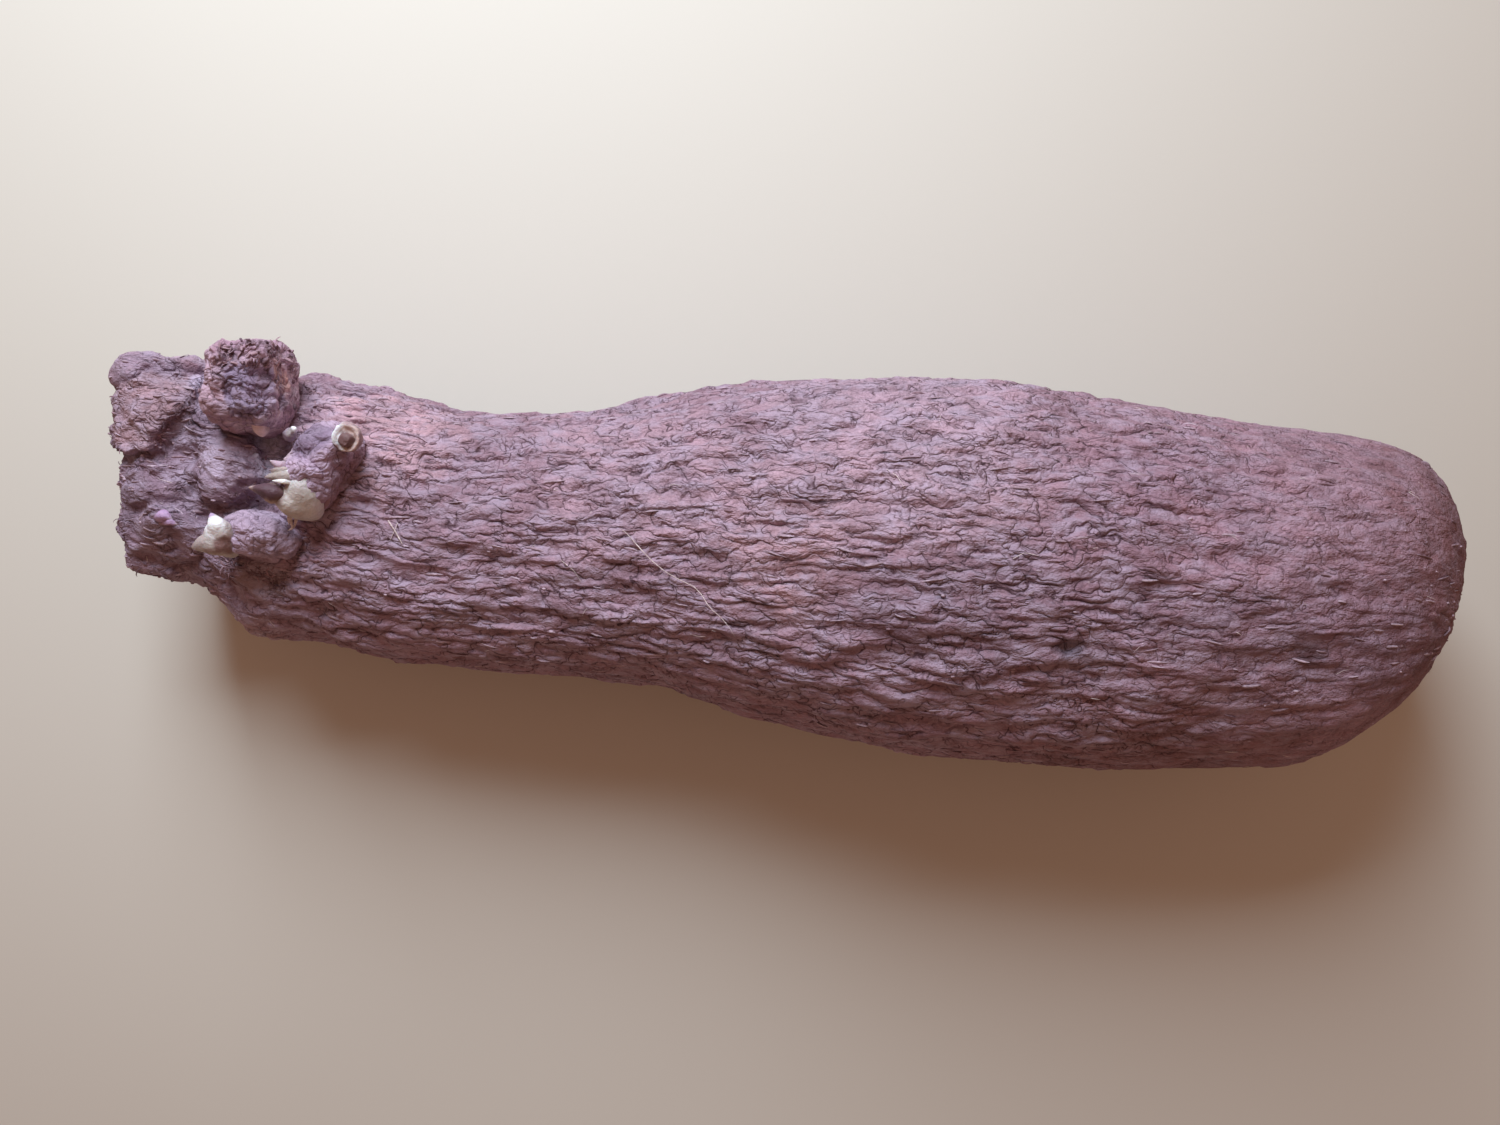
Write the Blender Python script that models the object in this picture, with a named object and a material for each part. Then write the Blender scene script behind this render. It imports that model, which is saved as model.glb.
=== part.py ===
"""A yam tuber with a sprouting crown, lying on its flattened belly.

Blender units are metres, +Z is up. +X runs from the woody crown to the rounded tip, and the view from
above has +Y at its upper side. The origin is under the middle of the whole yam, on the surface that it
lies on. Shapes are worked out in millimetres, measured along the tuber from its crown end, and are
scaled to metres as each mesh is made.
"""

import math

import bmesh
import bpy
import numpy as np
from mathutils import Matrix, Vector, noise

MM = 0.001
GAP = 0.4                  # clearance between pieces that touch, mm

# The tuber. Its length drives the places of the stations.
LENGTH = 400.0
# distance from the crown end, then the section's centre in y, half width, centre in z, half height
STATIONS = [
    (0, 13.2, 33.6, 37.0, 30.5),
    (10, 13.4, 34.0, 37.0, 31.0),
    (22, 12.4, 36.0, 37.5, 31.5),
    (30, 9.0, 39.0, 38.0, 33.5),
    (38, 5.0, 41.0, 39.0, 35.0),
    (60, 4.5, 41.0, 41.0, 37.5),
    (75, 2.5, 41.5, 42.5, 38.5),
    (92, -0.5, 40.0, 43.0, 39.0),
    (112, -0.8, 40.3, 43.5, 39.7),
    (132, 0.8, 41.7, 44.0, 41.0),
    (152, 3.0, 44.2, 45.0, 43.0),
    (172, 4.8, 47.7, 46.5, 45.8),
    (192, 5.0, 51.5, 48.0, 48.3),
    (215, 4.2, 55.0, 49.5, 50.8),
    (245, 3.5, 57.4, 50.5, 52.2),
    (270, 3.5, 57.6, 50.8, 52.5),
    (300, 2.7, 55.8, 50.5, 52.0),
    (330, 2.7, 53.4, 49.5, 50.2),
    (360, 4.8, 51.4, 48.5, 48.0),
    (385, 12.5, 51.0, 47.5, 46.0),
    (400, 17.0, 49.0, 47.0, 44.0),
]
CROWN_CAP = (9.0, 3.4)     # length and exponent of the rounding at the blunt crown end
TIP_CAP = (61.0, 2.45)     # the same for the tip
CROWN_SQUARENESS = 3.2     # exponent of the boxy section at the crown end
BODY_SQUARENESS = 2.15     # exponent of the nearly round section of the body
SQUARE_REACH = 38.0        # how far the boxy section lasts along the tuber
TUBER_COLUMNS = 96
TUBER_RINGS = 58
CROWN_RING_SHARE = 2.2     # rings are this much closer together over the crown
CROWN_REACH = 95.0

# The bark's wrinkles run lengthways: long and narrow, coarser than life
WRINKLE_LENGTH = 27.0
WRINKLE_WIDTH = 6.6
WRINKLE_DEPTH = 2.4
WRINKLE_EDGE = 0.34        # how far a crease reaches up its sides, as a level of the noise
CREASE_SHARPNESS = 1.5
CROWN_WRINKLES = 0.35      # share of the wrinkles' depth that is left on the crown
SMOOTH_TIP = (320.0, 392.0, 0.7)   # over this stretch the wrinkles lose this share of their depth
SWAY = (30.0, 22.0, 5.0)   # length, width and reach of the wrinkles' sideways wandering
SWELL_LENGTH = 30.0
SWELL_HEIGHT = 1.3
# The crown is rough and woody instead, with few wrinkles
CROWN_LUMP_SIZE = 9.0
CROWN_LUMP_HEIGHT = 3.0
CROWN_END = (22.0, 62.0)   # the crown's roughness fades out, and the wrinkles come in, over this stretch
RELIEF_FADE = (1.0, 9.0)   # relief starts and is full at these heights above the surface below

# Bosses and hollows of the tuber: along, y, z, radius, height, and an exponent that squares the edge
BUMPS = {
    "corner_nub": (-2.0, 38.5, 57.0, 9.5, 9.5, 2.5),
    "upper_rim": (13.0, 45.0, 61.0, 7.0, 2.0, 2.0),
    "rim_boss": (24.0, 45.5, 60.0, 6.0, 2.4, 2.0),
    "bark_plate": (19.0, 34.0, 69.0, 12.0, 2.4, 4.0),
    "main_boss": (39.0, 13.0, 73.0, 10.0, 5.2, 4.0),
    "pink_bud_boss": (18.0, -4.5, 68.0, 9.0, 4.2, 3.0),
    "crown_corner": (2.0, -6.0, 52.0, 14.0, 1.6, 2.0),
    "shoulder_peak": (54.0, 45.5, 54.0, 7.0, 2.8, 2.0),
    "crown_hollow": (50.5, 22.0, 75.0, 6.5, -9.0, 2.0),
    "low_hollow": (47.5, 4.5, 76.0, 5.5, -5.0, 2.0),
    "neck_groove": (35.0, -20.0, 62.0, 9.0, -4.5, 2.0),
    "groove_end": (26.0, -24.0, 45.0, 9.0, -3.5, 2.0),
    "neck_dent": (99.6, 19.0, 80.0, 8.0, -3.0, 2.0),
    "waist_dent": (156.0, 26.0, 82.0, 8.0, -2.2, 2.0),
    "rot_pit": (278.0, -16.5, 99.0, 5.5, -3.8, 2.0),
    "tip_dent": (346.0, -13.0, 88.0, 9.0, -3.2, 2.0),
}

# Woody knobs on the crown: centre, half sizes, turn about +Z in degrees, squareness, taper and bumps
KNOBS = {
    "crown_knob_stump": {
        "centre": (44.6, 37.2, 77.0), "half": (10.0, 11.7, 12.5), "turn": 4.0,
        "squareness": 4.5, "taper": 0.13, "bumps": 2.1, "seed": 3,
    },
    "sprout_knob_forked": {
        "centre": (68.8, 15.5, 81.5), "half": (8.2, 13.2, 11.0), "turn": -23.0,
        "squareness": 2.7, "taper": 0.06, "bumps": 1.9, "seed": 11,
    },
    "sprout_knob_low": {
        "centre": (51.0, -4.4, 78.5), "half": (9.4, 5.9, 7.0), "turn": -7.0,
        "squareness": 2.6, "taper": 0.0, "bumps": 1.3, "seed": 23,
    },
}
KNOB_LOBE = {
    "centre": (58.6, -6.4, 77.4), "half": (4.2, 4.0, 4.6), "turn": 0.0,
    "squareness": 2.2, "taper": 0.0, "bumps": 0.5, "seed": 5,
}
KNOB_BUMP_SIZE = 6.0
KNOB_COLUMNS, KNOB_RINGS = 26, 14

# Shoots and buds as pods: root, tip, thickness across and along the view, and where they are thickest
SHOOTS = {
    "shoot_forked": [
        ((71.0, 9.0, 84.0), (60.0, 5.0, 89.5), (6.4, 5.6), 0.50),
        ((66.0, 8.0, 88.0), (53.0, 9.2, 92.0), (3.9, 2.9), 0.30),
        ((64.5, 10.5, 88.0), (58.5, 16.2, 92.4), (3.0, 2.3), 0.30),
    ],
    "shoot_low": [
        ((47.5, -5.5, 80.0), (34.5, -9.6, 84.5), (5.2, 4.2), 0.42),
        ((45.5, -4.0, 81.0), (40.5, 1.6, 86.5), (2.7, 2.2), 0.35),
    ],
    "bud_round": [((76.0, 23.0, 86.0), (77.5, 24.3, 93.5), (4.3, 4.3), 0.55)],
    "bud_pink": [((19.5, -3.6, 72.5), (25.0, -2.6, 74.5), (1.6, 1.9), 0.45)],
    "bud_peach": [((49.0, 30.0, 74.0), (49.6, 21.9, 77.0), (2.9, 2.6), 0.45)],
    "bud_white": [((57.0, 24.6, 72.0), (57.6, 26.0, 79.5), (2.6, 2.6), 0.60)],
}
POD_COLUMNS, POD_RINGS = 16, 10
POD_TAPER = 1.8            # above 1 keeps a pod full until near its tip

# Colour and roughness of each piece's own surface
FINISHES = {
    "tuber": ((0.33, 0.20, 0.21), 0.85),
    "crown_knob_stump": ((0.22, 0.15, 0.20), 0.85),
    "sprout_knob_forked": ((0.29, 0.20, 0.26), 0.8),
    "sprout_knob_low": ((0.29, 0.19, 0.25), 0.8),
    "shoot_forked": ((0.66, 0.62, 0.45), 0.5),
    "shoot_low": ((0.70, 0.67, 0.55), 0.5),
    "bud_round": ((0.60, 0.52, 0.36), 0.5),
    "bud_pink": ((0.55, 0.30, 0.50), 0.55),
    "bud_peach": ((0.60, 0.30, 0.18), 0.55),
    "bud_white": ((0.62, 0.60, 0.60), 0.5),
}


def clear_scene():
    """Removes the objects that a new Blender file starts with."""
    for obj in list(bpy.data.objects):
        bpy.data.objects.remove(obj, do_unlink=True)


def new_collection(name, hidden=False):
    """A collection under the scene's own. Cutters go in a hidden one."""
    made = bpy.data.collections.new(name)
    made.hide_render = hidden
    bpy.context.scene.collection.children.link(made)
    return made


def finish(name):
    """The material of one piece."""
    colour, roughness = FINISHES[name]
    made = bpy.data.materials.new(name)
    made.use_nodes = True
    shader = made.node_tree.nodes["Principled BSDF"]
    shader.inputs["Base Color"].default_value = (*colour, 1.0)
    shader.inputs["Roughness"].default_value = roughness
    shader.inputs["Metallic"].default_value = 0.0
    return made


def smooth_step(low, high, value):
    """0 below low, 1 above high, and a smooth ramp between."""
    u = min(1.0, max(0.0, (value - low) / (high - low)))
    return u * u * (3 - 2 * u)


def smooth_curve(points, x):
    """Values at x of the smooth curve through rows of (position, value, value, ...)."""
    table = np.array(points, float)
    xs, ys = table[:, 0], table[:, 1:]
    slopes = np.gradient(ys, xs, axis=0)
    k = int(np.clip(np.searchsorted(xs, x) - 1, 0, len(xs) - 2))
    step = xs[k + 1] - xs[k]
    u = (x - xs[k]) / step
    return (
        (1 + 2 * u) * (1 - u) ** 2 * ys[k]
        + u * (1 - u) ** 2 * step * slopes[k]
        + u * u * (3 - 2 * u) * ys[k + 1]
        + u * u * (u - 1) * step * slopes[k + 1]
    )


def cap_share(along):
    """How much of the full section is left as the two ends round off."""
    share = 1.0
    for distance, (length, exponent) in ((along, CROWN_CAP), (LENGTH - along, TIP_CAP)):
        q = min(1.0, max(0.0, 1 - distance / length))
        share *= (1 - q**exponent) ** (1 / exponent)
    return share


def section_point(along, angle):
    """A point of the plain tuber, before its bosses and wrinkles."""
    centre_y, half_width, centre_z, half_height = smooth_curve(STATIONS, along)
    square = BODY_SQUARENESS + (CROWN_SQUARENESS - BODY_SQUARENESS) * math.exp(-((along / SQUARE_REACH) ** 2))
    c, s = math.cos(angle), math.sin(angle)
    reach = (abs(c / half_width) ** square + abs(s / half_height) ** square) ** (-1 / square)
    return Vector((along, centre_y, centre_z)) + Vector((0, c, s)) * reach * cap_share(along)


def ring_places(count):
    """Distances from the crown end of count + 1 rings, even along the outline and closer at the crown."""
    turn = np.linspace(0, math.pi, 1200)
    along = LENGTH / 2 * (1 - np.cos(turn))
    width = np.array([smooth_curve(STATIONS, x)[1] * cap_share(x) for x in along])
    weight = np.where(along[1:] < CROWN_REACH, CROWN_RING_SHARE, 1.0)
    travelled = np.concatenate([[0], np.cumsum(np.hypot(np.diff(along), np.diff(width)) * weight)])
    return np.interp(np.linspace(0, travelled[-1], count + 1), travelled, along)


def bump_height(point):
    """Sum of the bosses and hollows at a point of the plain tuber."""
    total = 0.0
    for along, y, z, radius, height, edge in BUMPS.values():
        away = (point - Vector((along, y, z))).length / radius
        if away < 2.5:
            total += height * math.exp(-(away**edge))
    return total


def bark_relief(point):
    """The bark's lengthways wrinkles and slow swells at a point, and the crown's woody lumps."""
    length, width, reach = SWAY
    sway = noise.noise(Vector((point.x / length, point.y / width, point.z / width))) * reach
    shifted = point + Vector((0, sway, sway))
    across = Vector((shifted.x / WRINKLE_LENGTH, shifted.y / WRINKLE_WIDTH, shifted.z / WRINKLE_WIDTH))
    crease = (1 - min(1.0, abs(noise.noise(across)) / WRINKLE_EDGE)) ** CREASE_SHARPNESS
    swell = noise.noise(point / SWELL_LENGTH + Vector((7.3, 1.9, 4.1)))
    lump = noise.noise(point / CROWN_LUMP_SIZE + Vector((2.7, 5.3, 8.9)))
    body = smooth_step(*CROWN_END, point.x)
    start, end, lost = SMOOTH_TIP
    depth = WRINKLE_DEPTH * (CROWN_WRINKLES + (1 - CROWN_WRINKLES) * body)
    depth *= 1 - lost * smooth_step(start, end, point.x)
    height = SWELL_HEIGHT * swell - depth * crease
    height += CROWN_LUMP_HEIGHT * lump * (1 - body)
    return height * smooth_step(*RELIEF_FADE, point.z)


def sphere(columns, rings):
    """A unit sphere to be shaped, as a bmesh."""
    made = bmesh.new()
    bmesh.ops.create_uvsphere(made, u_segments=columns, v_segments=rings, radius=1.0)
    return made


def add_object(name, shape, collection):
    """Turns a bmesh in millimetres into a smooth-shaded object of triangles, in metres."""
    bmesh.ops.scale(shape, verts=shape.verts, vec=(MM, MM, MM))
    bmesh.ops.triangulate(shape, faces=shape.faces)
    bmesh.ops.recalc_face_normals(shape, faces=shape.faces)
    mesh = bpy.data.meshes.new(name)
    shape.to_mesh(mesh)
    shape.free()
    mesh.shade_smooth()
    obj = bpy.data.objects.new(name, mesh)
    collection.objects.link(obj)
    if name in FINISHES:
        mesh.materials.append(finish(name))
    return obj


def make_tuber(collection):
    """The tuber: a sphere drawn out along the stations, wrinkled, with a flat spot where it lies."""
    places = ring_places(TUBER_RINGS)
    shape = sphere(TUBER_COLUMNS, TUBER_RINGS)
    for vertex in shape.verts:
        ring = math.acos(max(-1.0, min(1.0, vertex.co.z))) / math.pi * TUBER_RINGS
        angle = math.atan2(vertex.co.y, vertex.co.x)
        vertex.co = section_point(float(np.interp(ring, range(TUBER_RINGS + 1), places)), angle)
    bmesh.ops.recalc_face_normals(shape, faces=shape.faces)
    shape.normal_update()
    raised = [v.co + v.normal * (bump_height(v.co) + bark_relief(v.co)) for v in shape.verts]
    for vertex, place in zip(shape.verts, raised):
        vertex.co = place
    flatten_belly(shape)
    return add_object("tuber", shape, collection)


def flatten_belly(shape):
    """Cuts away what reaches below the surface and closes the cut with one flat face."""
    everything = shape.verts[:] + shape.edges[:] + shape.faces[:]
    bmesh.ops.bisect_plane(shape, geom=everything, plane_co=(0, 0, 0), plane_no=(0, 0, -1), clear_outer=True)
    rim = [edge for edge in shape.edges if edge.is_boundary]
    bmesh.ops.holes_fill(shape, edges=rim, sides=0)


def make_lump(name, centre, half, turn, squareness, taper, bumps, seed, collection):
    """A woody knob: a squared ellipsoid, narrower at its top, with bumps from seeded noise."""
    shape = sphere(KNOB_COLUMNS, KNOB_RINGS)
    shift = Vector((seed * 3.7, seed * 1.3, seed * 2.1))
    for vertex in shape.verts:
        ray = vertex.co.normalized()
        reach = sum(abs(part) ** squareness for part in ray) ** (-1 / squareness)
        narrow = 1 - taper * ray.z * reach
        point = Vector((ray.x * half[0] * narrow, ray.y * half[1] * narrow, ray.z * half[2])) * reach
        vertex.co = point + ray * bumps * noise.noise(point / KNOB_BUMP_SIZE + shift)
    bmesh.ops.rotate(shape, verts=shape.verts, matrix=Matrix.Rotation(math.radians(turn), 3, "Z"))
    bmesh.ops.translate(shape, verts=shape.verts, vec=centre)
    return add_object(name, shape, collection)


def pod_radius(u, widest):
    """Share of a pod's full radius at u along it: a round root, then a taper to the tip."""
    if u < widest:
        return math.sqrt(max(0.0, 1 - (1 - u / widest) ** 2))
    return max(0.0, 1 - ((u - widest) / (1 - widest)) ** POD_TAPER)


def make_pod(name, root, tip, thickness, widest, collection):
    """A shoot or bud: a sphere drawn out from root to tip and pointed at the tip."""
    root, tip = Vector(root), Vector(tip)
    axis = (tip - root).normalized()
    side = Vector((0, 0, 1)).cross(axis).normalized()
    up = axis.cross(side)
    shape = sphere(POD_COLUMNS, POD_RINGS)
    for vertex in shape.verts:
        u = (1 - vertex.co.z) / 2
        flat = Vector((vertex.co.x, vertex.co.y))
        if flat.length > 1e-6:
            flat.normalize()
        spread = flat * pod_radius(u, widest)
        vertex.co = root.lerp(tip, u) + side * spread.x * thickness[0] + up * spread.y * thickness[1]
    return add_object(name, shape, collection)


def swollen(obj, cutters):
    """A copy of a piece, larger by the clearance all round, to cut its neighbours with."""
    mesh = obj.data.copy()
    mesh.materials.clear()
    for vertex, normal in zip(mesh.vertices, [Vector(n.vector) for n in obj.data.vertex_normals]):
        vertex.co += normal * GAP * MM
    made = bpy.data.objects.new("clear_of_" + obj.name, mesh)
    made.display_type = "WIRE"
    made.hide_render = True
    cutters.objects.link(made)
    return made


def boolean(obj, other, operation):
    """Adds one Boolean modifier with the exact solver."""
    modifier = obj.modifiers.new(operation.lower() + "_" + other.name, "BOOLEAN")
    modifier.operation = operation
    modifier.object = other
    modifier.solver = "EXACT"


def make_helper(obj, cutters):
    """Turns a pod or lobe that another piece is fused with into a hidden helper."""
    obj.hide_render = True
    obj.display_type = "WIRE"
    for collection in list(obj.users_collection):
        collection.objects.unlink(obj)
    cutters.objects.link(obj)
    return obj


def make_knobs(yam, cutters):
    """The three woody knobs that stand on the crown, and the lobe grown onto the low one."""
    knobs = {name: make_lump(name, collection=yam, **sizes) for name, sizes in KNOBS.items()}
    lobe = make_helper(make_lump("knob_lobe", collection=yam, **KNOB_LOBE), cutters)
    boolean(knobs["sprout_knob_low"], lobe, "UNION")
    return knobs, lobe


def make_shoots(yam, cutters):
    """Each shoot: its first pod, with its other pods fused on."""
    shoots = {}
    for name, pods in SHOOTS.items():
        shoots[name] = make_pod(name, *pods[0], yam)
        for number, pod in enumerate(pods[1:], 2):
            extra = make_helper(make_pod(f"{name}_pod_{number}", *pod, yam), cutters)
            boolean(shoots[name], extra, "UNION")
    return shoots


def settle(objects):
    """Moves everything so that the origin is under the middle, on the surface that the yam lies on."""
    shown = [o for o in objects if not o.hide_render]
    corners = np.array([vertex.co for o in shown for vertex in o.data.vertices])
    low, high = corners.min(axis=0), corners.max(axis=0)
    shift = Matrix.Translation((-(low[0] + high[0]) / 2, -(low[1] + high[1]) / 2, -low[2]))
    for mesh in {o.data for o in objects}:
        mesh.transform(shift)
    print("moved by", [round(part / MM, 2) for part in shift.translation], "mm")


def main():
    clear_scene()
    yam = new_collection("yam")
    cutters = new_collection("cutters", hidden=True)
    tuber = make_tuber(yam)
    knobs, lobe = make_knobs(yam, cutters)
    shoots = make_shoots(yam, cutters)
    room_for_tuber = swollen(tuber, cutters)
    room_for_knobs = [swollen(piece, cutters) for piece in (*knobs.values(), lobe)]
    for knob in knobs.values():
        boolean(knob, room_for_tuber, "DIFFERENCE")
    for shoot in shoots.values():
        for room in (room_for_tuber, *room_for_knobs):
            boolean(shoot, room, "DIFFERENCE")
    settle(list(yam.objects) + list(cutters.objects))


main()
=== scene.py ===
import math
import random

import bmesh
import bpy
import numpy as np
from mathutils import Matrix, Vector, noise
from mathutils.bvhtree import BVHTree


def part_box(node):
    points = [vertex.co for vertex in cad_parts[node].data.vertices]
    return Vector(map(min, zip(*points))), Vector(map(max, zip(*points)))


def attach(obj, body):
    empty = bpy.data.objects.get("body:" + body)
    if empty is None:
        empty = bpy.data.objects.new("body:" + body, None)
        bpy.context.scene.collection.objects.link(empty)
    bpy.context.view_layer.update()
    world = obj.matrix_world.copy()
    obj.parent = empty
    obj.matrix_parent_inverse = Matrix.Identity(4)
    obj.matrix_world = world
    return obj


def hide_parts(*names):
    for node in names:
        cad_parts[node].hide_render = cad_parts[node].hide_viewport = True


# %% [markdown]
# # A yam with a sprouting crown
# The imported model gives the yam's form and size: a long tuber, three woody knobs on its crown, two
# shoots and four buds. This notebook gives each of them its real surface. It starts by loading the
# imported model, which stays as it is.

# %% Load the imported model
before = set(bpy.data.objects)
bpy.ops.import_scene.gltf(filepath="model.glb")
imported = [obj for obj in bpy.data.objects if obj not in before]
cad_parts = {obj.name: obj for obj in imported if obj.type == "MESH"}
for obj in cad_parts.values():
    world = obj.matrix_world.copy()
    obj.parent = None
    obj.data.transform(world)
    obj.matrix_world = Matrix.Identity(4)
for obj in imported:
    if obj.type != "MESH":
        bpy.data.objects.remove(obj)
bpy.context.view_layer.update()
MM = 0.001
NOISE_SEED = 5              # noise vectors start from the clock without it, and no two runs agree
noise.seed_set(NOISE_SEED)

# %% [markdown]
# ## Camera
# The photograph looks straight down from about 0.4 m above the table, as a phone does, and turned by
# five degrees. A lens this close makes the top of the yam look larger than its outline, so the height
# matters as much as the lens. The same numbers let us turn a pixel of the photograph into a place on
# the yam: `seen` finds the point that a pixel shows at a known height.

# %% Camera
PHOTO_SIZE = (1500, 1125)
CAMERA_AT = Vector((-0.0076, -0.0036, 0.3947))
CAMERA_TURN = math.radians(5.0)
HALF_VIEW = 0.6656          # half the photo's width over the distance
SENSOR = 36.0

camera = bpy.data.objects.new("photo_camera", bpy.data.cameras.new("photo_camera"))
camera.data.sensor_width = SENSOR
camera.data.lens = SENSOR / 2 / HALF_VIEW
camera.data.clip_start = 0.01
camera.location = CAMERA_AT
camera.rotation_euler = (0.0, 0.0, CAMERA_TURN)
bpy.context.scene.collection.objects.link(camera)
bpy.context.scene.camera = camera
print("lens, mm:", round(camera.data.lens, 2))


def seen(px, py, height):
    """The point at a height in millimetres that the photo shows at a pixel."""
    per_pixel = (CAMERA_AT.z - height * MM) * HALF_VIEW / (PHOTO_SIZE[0] / 2)
    flat = Vector(((px - PHOTO_SIZE[0] / 2) * per_pixel, (PHOTO_SIZE[1] / 2 - py) * per_pixel, 0))
    flat.rotate(Matrix.Rotation(CAMERA_TURN, 3, "Z"))
    return Vector((CAMERA_AT.x + flat.x, CAMERA_AT.y + flat.y, height * MM))


def to_pixels(places):
    """Pixels of the photo at which an array of points is seen."""
    away = np.asarray(places, float) - np.array(CAMERA_AT)
    c, s = math.cos(CAMERA_TURN), math.sin(CAMERA_TURN)
    scale = PHOTO_SIZE[0] / 2 / HALF_VIEW / -away[:, 2]
    right = (away[:, 0] * c + away[:, 1] * s) * scale
    up = (-away[:, 0] * s + away[:, 1] * c) * scale
    return np.stack([PHOTO_SIZE[0] / 2 + right, PHOTO_SIZE[1] / 2 - up], axis=1)


# %% [markdown]
# ## Table and light
# The yam lies on a plain pale sheet under a window. One area light stands for the window: it is cool,
# and its size sets how soft the shadow's edge is. The rest of the room sends back warm light, which the
# world's colour stands for. The warm fill is what turns the yam's shaded side red-brown.

# %% Table
FLOOR_COLOUR = (0.690, 0.655, 0.590, 1.0)
SHEET_REACH = 3.0           # from its middle to its edge, metres


def new_material(name, roughness, specular=0.5):
    """A material, its tree and its Principled shader."""
    made = bpy.data.materials.new(name)
    made.use_nodes = True
    shader = made.node_tree.nodes["Principled BSDF"]
    shader.inputs["Roughness"].default_value = roughness
    shader.inputs["Specular IOR Level"].default_value = specular
    return made, made.node_tree, shader


sheet_material, _, sheet_shader = new_material("table_sheet", 0.75)
sheet_shader.inputs["Base Color"].default_value = FLOOR_COLOUR
sheet_shape = bmesh.new()
bmesh.ops.create_grid(sheet_shape, x_segments=1, y_segments=1, size=SHEET_REACH)
sheet_mesh = bpy.data.meshes.new("table_sheet")
sheet_shape.to_mesh(sheet_mesh)
sheet_shape.free()
sheet_mesh.materials.append(sheet_material)
floor = bpy.data.objects.new("table_sheet", sheet_mesh)
bpy.context.scene.collection.objects.link(floor)

# %% Window light and warm room
WINDOW_DIRECTION = (-0.260, 0.683, 0.683)
WINDOW_DISTANCE = 0.74      # metres
WINDOW_SIZE = (0.33, 0.41)  # metres
WINDOW_POWER = 6.45         # watts
WINDOW_COLOUR = (0.80, 0.91, 1.0)
ROOM_COLOUR = (1.0, 0.58, 0.40, 1.0)
ROOM_STRENGTH = 0.29
bpy.context.scene.view_settings.view_transform = "Standard"

window = bpy.data.objects.new("window", bpy.data.lights.new("window", "AREA"))
window.data.shape = "RECTANGLE"
window.data.size, window.data.size_y = WINDOW_SIZE
window.data.energy = WINDOW_POWER
window.data.color = WINDOW_COLOUR
window.location = Vector(WINDOW_DIRECTION).normalized() * WINDOW_DISTANCE
window.rotation_euler = (-window.location).to_track_quat("-Z", "Y").to_euler()
bpy.context.scene.collection.objects.link(window)

room = bpy.data.worlds.new("room")
room.use_nodes = True
room.node_tree.nodes["Background"].inputs["Color"].default_value = ROOM_COLOUR
room.node_tree.nodes["Background"].inputs["Strength"].default_value = ROOM_STRENGTH
bpy.context.scene.world = room

# %% [markdown]
# ## Small helpers for node trees
# The bark is painted dark as shade in its creases, in the same places where the mesh is wrinkled, so the
# relief and the colour have to come from one pattern. Blender's texture nodes are the same in a geometry
# tree, which moves the mesh, and in a shader tree, which colours it. The helpers below work in both kinds
# of tree, so one recipe can be built twice.

# %% Node helpers


def feed(tree, socket, value):
    """Links a socket to an input, or sets the input to a plain value."""
    if isinstance(value, bpy.types.NodeSocket):
        tree.links.new(value, socket)
    else:
        socket.default_value = value


def calc(tree, operation, *values, clamp=False):
    """One Math node."""
    node = tree.nodes.new("ShaderNodeMath")
    node.operation = operation
    node.use_clamp = clamp
    for socket, value in zip(node.inputs, values):
        feed(tree, socket, value)
    return node.outputs[0]


def calc_vector(tree, operation, *values):
    """One Vector Math node."""
    node = tree.nodes.new("ShaderNodeVectorMath")
    node.operation = operation
    for socket, value in zip(node.inputs, values):
        feed(tree, socket, value)
    return node.outputs["Vector"]


def scaled(tree, vector, factor):
    """A vector or a colour times one number."""
    node = tree.nodes.new("ShaderNodeVectorMath")
    node.operation = "SCALE"
    feed(tree, node.inputs[0], vector)
    feed(tree, node.inputs["Scale"], factor)
    return node.outputs["Vector"]


def parts_of(tree, vector):
    """The three parts of a vector."""
    node = tree.nodes.new("ShaderNodeSeparateXYZ")
    feed(tree, node.inputs[0], vector)
    return node.outputs


def ramp(tree, value, low, high, at_low=0.0, at_high=1.0):
    """A smooth ramp between two levels of a value."""
    node = tree.nodes.new("ShaderNodeMapRange")
    node.interpolation_type = "SMOOTHSTEP"
    for socket, given in zip(node.inputs, (value, low, high, at_low, at_high)):
        feed(tree, socket, given)
    return node.outputs[0]


def clouds(tree, place, size, detail=2.0, roughness=0.5, output="Fac"):
    """Noise whose blobs have a size, in the units of the place."""
    node = tree.nodes.new("ShaderNodeTexNoise")
    feed(tree, node.inputs["Vector"], calc_vector(tree, "DIVIDE", place, size))
    node.inputs["Scale"].default_value = 1.0
    node.inputs["Detail"].default_value = detail
    node.inputs["Roughness"].default_value = roughness
    return node.outputs[output]


def specks_at(tree, place, size):
    """How far the nearest speck is, among specks about a size apart."""
    node = tree.nodes.new("ShaderNodeTexVoronoi")
    node.feature = "F1"
    feed(tree, node.inputs["Vector"], calc_vector(tree, "DIVIDE", place, size))
    node.inputs["Scale"].default_value = 1.0
    return node.outputs["Distance"]


def blend_colours(tree, share, first, second):
    """One Mix node on colours."""
    node = tree.nodes.new("ShaderNodeMix")
    node.data_type = "RGBA"
    feed(tree, node.inputs["Factor"], share)
    feed(tree, node.inputs[6], first)
    feed(tree, node.inputs[7], second)
    return node.outputs[2]


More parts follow.
